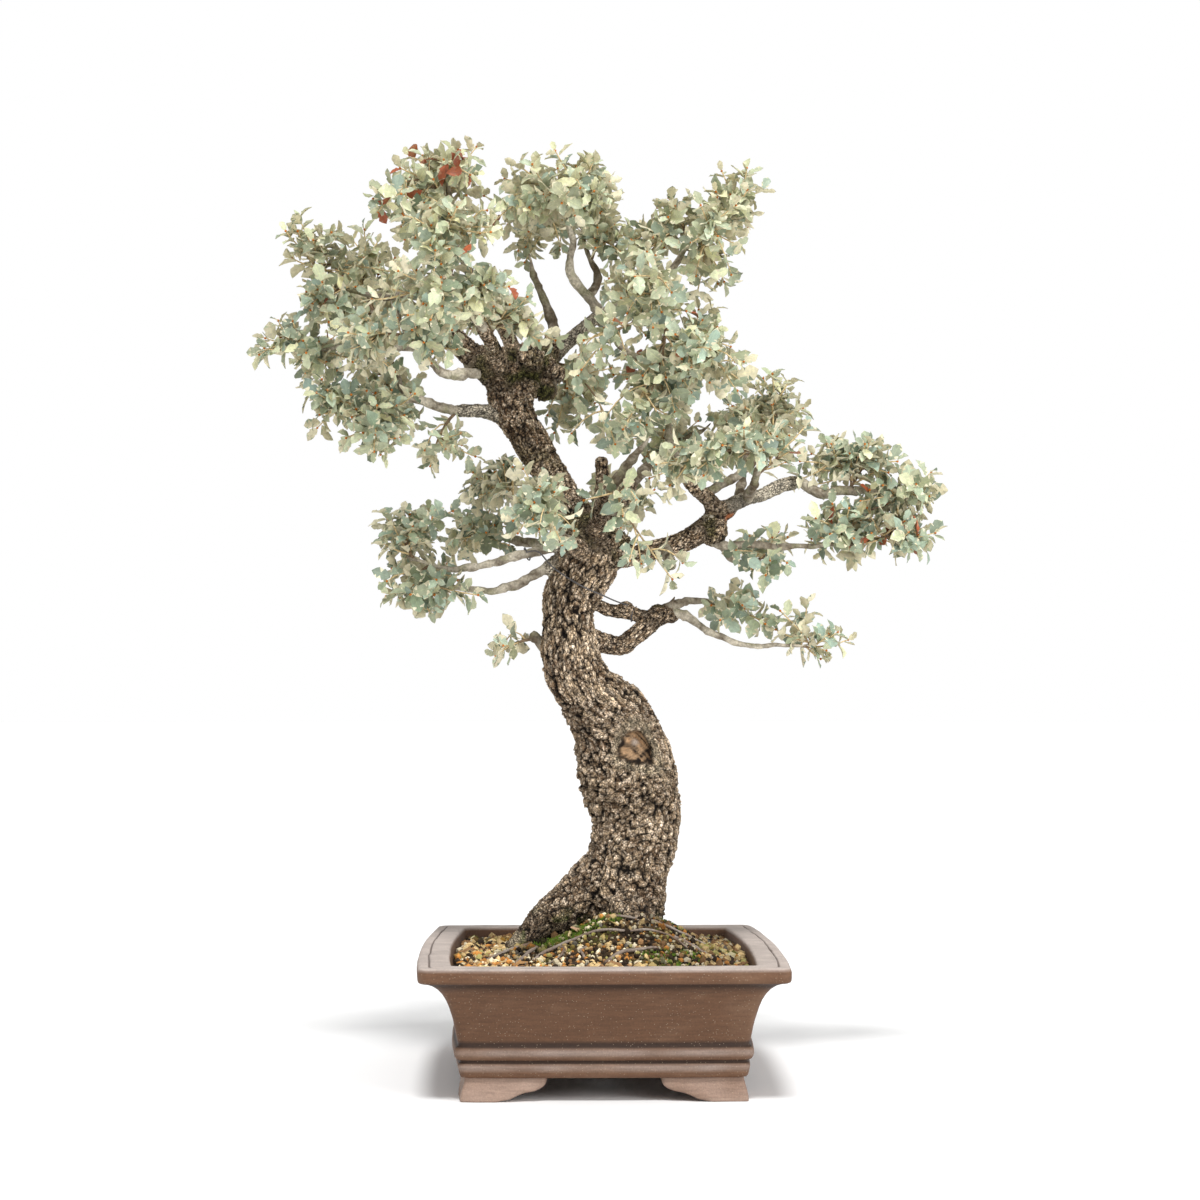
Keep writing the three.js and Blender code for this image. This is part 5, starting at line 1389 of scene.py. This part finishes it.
def make_pot():
    """The pot's body, a little uneven from the hand, with its holes and four feet."""
    rings = [outline_ring(inset, height) for inset, height in POT_PROFILE]
    count = len(rings[0])
    points = np.vstack([*rings, (0, 0, POT_PROFILE[0][1]), (0, 0, POT_PROFILE[-1][1])])
    quads, triangles = ring_faces(len(rings), count)
    insets = [inset for inset, _ in POT_PROFILE]
    inset = np.append(np.repeat(insets, count), [insets[0], insets[-1]])
    away = unit(points * (1, 1, 0))
    groove = (points[:, 2] > GROOVE_FROM) & between(inset, *GROOVE_INSETS)
    shift = (0.35 * noise(points, 60, 61) + 0.18 * noise(points, 16, 62)) * (points[:, 2] > UNEVEN_FROM)
    shift = shift + groove * (0.9 * noise(points, 30, 63) + 0.4 * noise(points, 7, 64))
    points = points + away * shift[:, None]
    points[:, 2] += (0.45 * noise(points, 70, 65) + 0.2 * noise(points, 12, 66)) * (points[:, 2] > RIM_FROM)
    # The rim's groove is cut unevenly and fades in places.
    fade = np.clip(0.5 + 0.8 * noise(points, 45, 67), 0, 1)
    points[:, 2] += groove * (points[:, 2] < 102.7) * fade * 0.9
    piece = make_piece("pot_body", points, [quads, triangles], [CLAY], pot_paint(points, inset, groove))
    drill(piece, -DRAIN_DISTANCE)
    drill(piece, DRAIN_DISTANCE)
    dress(piece, "stoneware", "pot")
    for name, (sx, sy) in CORNERS.items():
        make_foot(sx, sy, f"foot_{name}")


# The drainage meshes.

MESH_HALF = 22
MESH_LAST_BAR = 21
MESH_BARS = 11
BAR_RADIUS = 0.55
BAR_LIFT = 0.9
PLASTIC_BLACK = srgb(26, 26, 27)


def make_drain_mesh(name, centre_y):
    """A plastic net over a drainage hole."""
    heap = Heap()
    for lengthwise in (True, False):
        for bar in np.linspace(-MESH_LAST_BAR, MESH_LAST_BAR, MESH_BARS):
            ends = np.array([[bar, -MESH_HALF, 0], [bar, MESH_HALF, 0]])
            if not lengthwise:
                ends = ends[:, [1, 0, 2]]
            ends += (0, centre_y, FLOOR_TOP + BAR_LIFT)
            heap.add(*tube(ends, [BAR_RADIUS, BAR_RADIUS], 6), PLASTIC_BLACK)
    dress(heap.painted(name, PLASTIC), "mesh", name.replace("_net", ""))


# The soil and what lies on it.

EARTH_DARK = srgb(52, 42, 32)
EARTH_OCHRE = srgb(112, 88, 56)
GRAIN_GREEN = srgb(120, 122, 44)
GRAIN_TONES = np.array([
    srgb(204, 176, 126), srgb(226, 212, 180), srgb(192, 132, 68), srgb(142, 108, 74), srgb(58, 47, 37),
    srgb(112, 106, 96), srgb(170, 160, 100),
])
MOUND_SHARES = [0.20, 0.20, 0.08, 0.11, 0.33, 0.03, 0.05]
EDGE_SHARES = [0.30, 0.13, 0.05, 0.27, 0.19, 0.02, 0.04]
GRAIN_SPACING = 3.3
GRAIN_REACH = (0.75, 3.9)
GRAIN_FIELD = (114, 170)
WALLS_AT = (112, 168)
NEAR_WALL = (46, 16)
SHADED_FROM = 34
SHADED_TONE = 0.55
SOIL_SKIRT = [(38.2, 26.6), (36.2, 48), (31.2, 74), (SOIL_INSET, SOIL_EDGE - 1)]
SOIL_RINGS = 46
TRUNK_FOOT = (17, 0, 31)
TRUNK_OVERLAP = 2.0


def soil_height(x, y):
    """The height of the soil: its mound, the heap beside the left root, and its roughness."""
    dx = (x - MOUND_CENTRE[0]) / MOUND_SPREAD[0]
    dy = (y - MOUND_CENTRE[1]) / MOUND_SPREAD[1]
    at = np.stack([x, y, np.zeros_like(x)], axis=-1).reshape(-1, 3)
    rough = (1.6 * noise(at, 22, 81) + 0.8 * noise(at, 8, 82)).reshape(np.shape(x))
    by_root = 8 * np.exp(-((x + 60) / 24) ** 2 - ((y + 22) / 34) ** 2)
    return SOIL_EDGE + MOUND_HEIGHT * np.exp(-dx * dx - dy * dy) + by_root + rough


def ground_at(x, y):
    """The height of the soil at one place."""
    return float(soil_height(np.array([x]), np.array([y]))[0])


def make_soil():
    """The bed of the soil: its skirt against the walls and its mounded top."""
    edge = pot_outline(SOIL_INSET)
    rings = [outline_ring(inset, height) for inset, height in SOIL_SKIRT]
    for share in np.linspace(1, 0.02, SOIL_RINGS)[1:]:
        x, y = (MOUND_CENTRE[k] + (edge[:, k] - MOUND_CENTRE[k]) * share for k in range(2))
        z = soil_height(x, y)
        rings.append(np.column_stack([x, y, z + 0.7 * noise(np.column_stack([x, y, z]), 4, 83)]))
    points = np.vstack([*rings, rings[0].mean(axis=0), rings[-1].mean(axis=0)])
    quads, triangles = ring_faces(len(rings), len(edge))
    paint = blended(EARTH_DARK, EARTH_OCHRE, 0.25 + 0.5 * noise(points, 14, 84))
    dress(make_piece("soil_bed", points, [quads, triangles], [EARTH], paint), "soil", "soil")


def in_trunk(x, y):
    """Whether a place on the soil lies well under the trunk or a root."""
    inside = np.hypot(x - TRUNK_FOOT[0], y - TRUNK_FOOT[1]) < TRUNK_FOOT[2] - TRUNK_OVERLAP
    for name in ("root_left", "root_front", "root_right", "root_back"):
        places, radii = route(name)
        for a, b, ra, rb in zip(places, places[1:], radii, radii[1:]):
            span = b[:2] - a[:2]
            t = np.clip(((x - a[0]) * span[0] + (y - a[1]) * span[1]) / max(span @ span, 1e-6), 0, 1)
            far = np.hypot(x - a[0] - span[0] * t, y - a[1] - span[1] * t)
            high = a[2] + (b[2] - a[2]) * t
            near = far < (ra + (rb - ra) * t) * 0.8 - TRUNK_OVERLAP
            inside |= near & (high > soil_height(x, y) - 4)
    return inside


def grain_places(draw):
    """Places for the grains, on a grid that is shaken, inside the pot and outside the wood."""
    xs, ys = np.meshgrid(*(np.arange(-half, half + 1, GRAIN_SPACING) for half in GRAIN_FIELD))
    x = xs.ravel() + draw.uniform(-0.5, 0.5, xs.size) * GRAIN_SPACING
    y = ys.ravel() + draw.uniform(-0.5, 0.5, xs.size) * GRAIN_SPACING
    bow = LONG_SIDE_BOW * (1 - (y / GRAIN_FIELD[1]) ** 2)
    keep = np.abs(x) < RIM_HALF_WIDTH - SOIL_INSET - 2.5 + bow * 0.8
    keep &= np.abs(y) < RIM_HALF_LENGTH - SOIL_INSET - 1.5
    keep &= ~in_trunk(x, y)
    return x[keep], y[keep]


def grain_paint(x, y, wall, draw):
    """The grains' tones: pumice, ochre and lava by shares, darker in front of the trunk's foot and by the
    left root, partly damp soil and partly painted shade, greener where mossy.
    """
    count = len(x)
    flat = np.column_stack([x, y, y * 0])
    by_wall = (draw.uniform(0, 1, count) < wall)[:, None]
    shares = np.where(by_wall, np.cumsum(EDGE_SHARES), np.cumsum(MOUND_SHARES))
    tone = np.sum(draw.uniform(0, 1, count)[:, None] > shares, axis=1).clip(0, len(GRAIN_TONES) - 1)
    colour = GRAIN_TONES[tone] * draw.uniform(0.75, 1.45, count)[:, None]
    colour = colour * np.where(x > SHADED_FROM, SHADED_TONE, 1)[:, None]
    # Darker in front of the trunk's foot and by the left root: partly damp soil, partly painted shade.
    darkening = step(0.0, 0.55, noise(flat, 30, 85)) * step(70, 30, np.hypot(x - 20, y + 40))
    darkening = np.maximum(darkening, 1.3 * step(44, 20, np.hypot(x + 42, y + 40)))
    colour = colour * (1 - 0.5 * darkening)[:, None]
    return blended(colour, GRAIN_GREEN, step(0.15, 0.6, noise(flat, 24, 86)) * draw.uniform(0, 0.55, count))


def make_grains():
    """Loose grit over the soil: small grains on the mound, larger ones by the walls."""
    draw = np.random.default_rng(7)
    x, y = grain_places(draw)
    count = len(x)
    wall = step(*NEAR_WALL, np.minimum(WALLS_AT[0] - np.abs(x), WALLS_AT[1] - np.abs(y)))
    reach = np.clip(draw.gamma(7, 0.235, count) * (1 + 0.62 * wall), *GRAIN_REACH)
    colour = grain_paint(x, y, wall, draw)
    shape, faces = ball((0, 0, 0), 1, 1)
    rough = draw.uniform(0.72, 1.22, (count, len(shape), 1))
    squash = draw.uniform(0.65, 1.15, (count, 1, 3))
    turn = draw.uniform(0, FULL_TURN, count)[:, None]
    grain = shape[None] * rough * squash * reach[:, None, None]
    turned = np.stack([grain[..., 0] * np.cos(turn) - grain[..., 1] * np.sin(turn),
                       grain[..., 0] * np.sin(turn) + grain[..., 1] * np.cos(turn),
                       grain[..., 2]], axis=-1)
    z = soil_height(x, y) + reach * draw.uniform(0.05, 0.75, count)
    points = turned + np.stack([x, y, z], axis=-1)[:, None, :]
    for name, part in (("grit_front", slice(0, count // 2)), ("grit_back", slice(count // 2, count))):
        shown = points[part]
        triangles = (faces[None] + (np.arange(len(shown)) * len(shape))[:, None, None]).reshape(-1, 3)
        tones = np.repeat(colour[part], len(shape), axis=0)
        piece = make_piece(name, shown.reshape(-1, 3), [triangles], [GRIT], tones, smooth=False)
        dress(piece, "soil", "soil")


# Thin roots that run over the soil, as [x, y] places and a radius; their heights follow the soil.
SURFACE_ROOTS = [
    ([(-54, -76), (-44, -67), (-32, -62), (-19, -63), (-7, -66), (8, -72), (21, -74), (35, -72), (48, -70),
      (60, -71), (70, -75)], 1.25),
    ([(-52, -45), (-60, -62), (-66, -80), (-64, -98)], 1.5),
    ([(-56, -30), (-70, -40), (-84, -44), (-92, -58), (-94, -76)], 1.3),
    ([(-40, -50), (-30, -74), (-34, -92), (-48, -104)], 1.0),
    ([(2, -118), (14, -106), (28, -103), (40, -98), (50, -90)], 1.5),
    ([(-14, -104), (-16, -92), (-10, -80)], 1.1),
    ([(58, -60), (72, -66), (84, -80), (90, -98), (92, -118)], 1.2),
    ([(40, -46), (56, -50), (74, -46), (92, -52), (104, -66)], 1.0),
    ([(66, 22), (82, 34), (90, 52), (86, 72)], 1.3),
    ([(-6, 66), (-18, 84), (-24, 104), (-40, 118)], 1.3),
    ([(4, -38), (12, -50), (26, -56), (34, -48)], 1.0),
    ([(-60, 0), (-76, 8), (-92, 4)], 1.2),
]
ROOT_GREY = srgb(158, 148, 138)
ROOT_BROWN = srgb(116, 96, 82)
ROOT_SIDES = 8


def make_roots():
    """The thin roots, which dip into the soil at both ends."""
    heap = Heap()
    for number, (line, radius) in enumerate(SURFACE_ROOTS):
        line = np.array(line, float)
        height = soil_height(line[:, 0], line[:, 1]) + 1.6 + radius * 0.7
        height[0] -= 2.5
        height[-1] -= 3.5
        radii = np.linspace(radius * 1.25, radius * 0.6, len(line))
        rows, sizes = smooth_path(np.column_stack([line, height]), radii, 2.5)
        seed = 200 + number * 3
        rows = rows + shaken(rows, 9, (seed, seed + 1, seed + 2)) * (1.3, 1.3, 0.5)
        rows[:, 2] = np.maximum(rows[:, 2], soil_height(rows[:, 0], rows[:, 1]) - 0.2)
        points, quads, triangles = tube(rows, sizes * (1 + 0.2 * noise(rows, 4, 210 + number)), ROOT_SIDES)
        paint = blended(ROOT_BROWN, ROOT_GREY, 0.5 + 0.6 * noise(points, 12, 220))
        heap.add(points, quads, triangles, paint)
    dress(heap.painted("surface_roots", TWIG), "bark", "soil")


# Moss: patches as [x, y, reach, tufts], and the blades of a tuft.
MOSS_PATCHES = [
    (-26, -44, 15, 90), (-8, -50, 10, 50), (12, -46, 11, 60), (-44, -36, 10, 40), (60, -18, 12, 45),
    (84, -84, 22, 60), (-90, -110, 20, 40), (30, 48, 16, 60), (-40, 30, 14, 40), (50, -110, 20, 40),
]
MOSS_TONE = srgb(84, 108, 26)
TUFT_BLADES = 9
BLADE_RADIUS = 0.55
THIRD_TURN = 2.094
BLADE_FACES = np.array([(0, 1, 3), (1, 2, 3), (2, 0, 3), (2, 1, 0)])


def make_moss():
    """Tufts of three-sided blades in patches."""
    draw = np.random.default_rng(11)
    points, paint = [], []
    for x0, y0, reach, tufts in MOSS_PATCHES:
        for _ in range(tufts):
            turn, far = draw.uniform(0, FULL_TURN), reach * math.sqrt(draw.uniform(0, 1))
            x, y = x0 + far * math.cos(turn), y0 + far * math.sin(turn)
            ground = ground_at(x, y)
            tone = MOSS_TONE * draw.uniform(0.5, 1.4)
            for _ in range(TUFT_BLADES):
                bx, by = x + draw.normal(0, 1.2), y + draw.normal(0, 1.2)
                tip = (bx + draw.normal(0, 0.8), by + draw.normal(0, 0.8), ground + draw.uniform(1.4, 3.4))
                for k in range(3):
                    angle = k * THIRD_TURN
                    points.append((bx + BLADE_RADIUS * math.cos(angle), by + BLADE_RADIUS * math.sin(angle),
                                   ground - 0.8))
                points.append(tip)
                paint += [tone * 0.5] * 3 + [tone * 1.3]
    triangles = (BLADE_FACES + np.arange(0, len(points), 4)[:, None, None]).reshape(-1, 3)
    dress(make_piece("moss", np.array(points), [triangles], [MOSS], np.array(paint)), "leaves", "soil")


# Fallen leaves on the soil: [x, y, heading in degrees, length], and their tones.
FALLEN = [
    (-27, -52, 60, 15), (2, -57, -35, 13), (-18, -48, 110, 12), (-70, -100, 20, 18), (78, 60, 200, 19),
    (-60, 90, 140, 18),
]
FALLEN_TONES = np.array([
    srgb(206, 184, 140), srgb(188, 166, 112), srgb(196, 160, 130), srgb(170, 128, 80), srgb(176, 140, 92),
    srgb(186, 120, 70),
])


def make_fallen():
    """A few dry leaves that lie on the soil."""
    draw = np.random.default_rng(13)
    leaves = []
    for x, y, heading, length in FALLEN:
        turn = math.radians(heading)
        base = np.array([x, y, ground_at(x, y) + 2.6])
        ahead = unit(np.array([math.cos(turn), math.sin(turn), 0.12]))
        upper = unit(np.array([0.25 * draw.normal(), 0.25 * draw.normal(), 1.0]))
        leaves.append((base, ahead, upper, length))
    points, quads, side, flat = leaf_mesh(leaves, draw)
    paint = np.repeat(FALLEN_TONES, 2 * LEAF_POINTS, axis=0)
    piece = make_piece("fallen_leaves", points, [quads], [LEAF_TOP, LEAF_UNDER], paint, side, uv=flat)
    dress(piece, "leaves", "soil")


# The guy wire.

QUARTER_TURN = math.pi / 2
WIRE_GREY = srgb(84, 82, 82)
WIRE_SIDES = 10
WIRE_ROW = 3
LOOP_ROWS = 26


def wire_loop(name, near, start, turn):
    """A loop of wire round a run of wood, nearest to a place."""
    rows, radii = smooth_path(*route(name), 2)
    index = int(np.argmin(np.linalg.norm(rows - near, axis=1)))
    along = frames(rows)[0][index]
    across = unit(np.cross(along, (0, 0, 1)))
    other = np.cross(across, along)
    reach = radii[index] * 1.08 + WIRE_RADIUS
    share = np.linspace(0, 1, LOOP_ROWS)[:, None]
    angle = (start + share * turn) * QUARTER_TURN
    return (rows[index] + across * np.cos(angle) * reach + other * np.sin(angle) * reach
            + along * (share - 0.5) * 3 * WIRE_RADIUS)


def make_wire():
    """The guy wire: a taut run between two loops."""
    first = wire_loop("left_up_arm", (-59.5, -18, 422), 2.4, 3.4)
    last = wire_loop("loop_top", (28, 12, 374), 0.6, -3.4)
    places = np.vstack([first, [seen(place) for place in WIRE_RUN], last])
    rows, radii = smooth_path(places, np.full(len(places), WIRE_RADIUS), WIRE_ROW)
    points, quads, triangles = tube(rows, radii, WIRE_SIDES)
    paint = np.tile(WIRE_GREY, (len(points), 1))
    dress(make_piece("guy_wire_run", points, [quads, triangles], [STEEL], paint), "wire", "guy_wire")


# Building it all.

make_trunk()
make_branches()
for number, tips in enumerate(SPRAYS):
    make_spray(number, tips)
make_pot()
make_drain_mesh("drain_mesh_front_net", -DRAIN_DISTANCE)
make_drain_mesh("drain_mesh_back_net", DRAIN_DISTANCE)
make_soil()
make_grains()
make_roots()
make_moss()
make_fallen()
make_wire()

# Floor, light and camera.

FLOOR_RADIUS = 40
FLOOR_WHITE = (0.95, 0.95, 0.95, 1)
WORLD_SHINE = 0.64
WORLD_SEEN = 1.0
FOCAL_LENGTH = 78.9
SENSOR_WIDTH = 36
FAR_END = 100
CAMERA_TURN = math.radians(1.23)
CAMERA_PITCH = math.radians(2.26)


def pale_floor():
    """A pale floor to stand on."""
    bpy.ops.mesh.primitive_circle_add(vertices=96, radius=FLOOR_RADIUS, fill_type="NGON")
    floor = bpy.context.object
    floor.name = "floor"
    material = bpy.data.materials.new("floor_white")
    material.use_nodes = True
    shader = material.node_tree.nodes["Principled BSDF"]
    shader.inputs["Base Color"].default_value = FLOOR_WHITE
    shader.inputs["Roughness"].default_value = 0.9
    shader.inputs["Specular IOR Level"].default_value = 0.1
    floor.data.materials.append(material)


def studio_world():
    """White all round, and brighter behind the object than it shines."""
    world = bpy.data.worlds.new("studio")
    world.use_nodes = True
    nodes, links = world.node_tree.nodes, world.node_tree.links
    path = nodes.new("ShaderNodeLightPath")
    strength = nodes.new("ShaderNodeMapRange")
    strength.inputs["To Min"].default_value = WORLD_SHINE
    strength.inputs["To Max"].default_value = WORLD_SEEN
    links.new(path.outputs["Is Camera Ray"], strength.inputs["Value"])
    nodes["Background"].inputs["Color"].default_value = (1, 1, 1, 1)
    links.new(strength.outputs["Result"], nodes["Background"].inputs["Strength"])
    bpy.context.scene.world = world


def add_light(name, kind, place, target, power, **settings):
    """A light that shines from a place towards a target."""
    data = bpy.data.lights.new(name, kind)
    data.energy = power
    for key, value in settings.items():
        setattr(data, key, value)
    lamp = bpy.data.objects.new(name, data)
    lamp.location = place
    lamp.rotation_euler = (Vector(target) - Vector(place)).to_track_quat("-Z", "Y").to_euler()
    bpy.context.scene.collection.objects.link(lamp)


def look_from_photo():
    """The camera where the photograph was taken from, pitched up a little."""
    data = bpy.data.cameras.new("camera")
    data.lens = FOCAL_LENGTH
    data.sensor_width = SENSOR_WIDTH
    data.clip_end = FAR_END
    camera = bpy.data.objects.new("camera", data)
    camera.location = (EYE_ACROSS * MM, -(EYE_DISTANCE - 1) * MM, EYE_HEIGHT * MM)
    level = math.cos(CAMERA_PITCH)
    aim = Vector((math.sin(CAMERA_TURN) * level, math.cos(CAMERA_TURN) * level, math.sin(CAMERA_PITCH)))
    camera.rotation_euler = aim.to_track_quat("-Z", "Y").to_euler()
    bpy.context.scene.collection.objects.link(camera)
    bpy.context.scene.camera = camera


pale_floor()
studio_world()
add_light("key_light", "SUN", (-0.05, -1.0, 1.8), (0, 0, 0), 2.15, angle=math.radians(12))
add_light("fill_light", "AREA", (1.7, -1.9, 1.0), (0, 0, 0.4), 27, shape="DISK", size=1.2)
look_from_photo()
bpy.context.scene.view_settings.view_transform = "Standard"
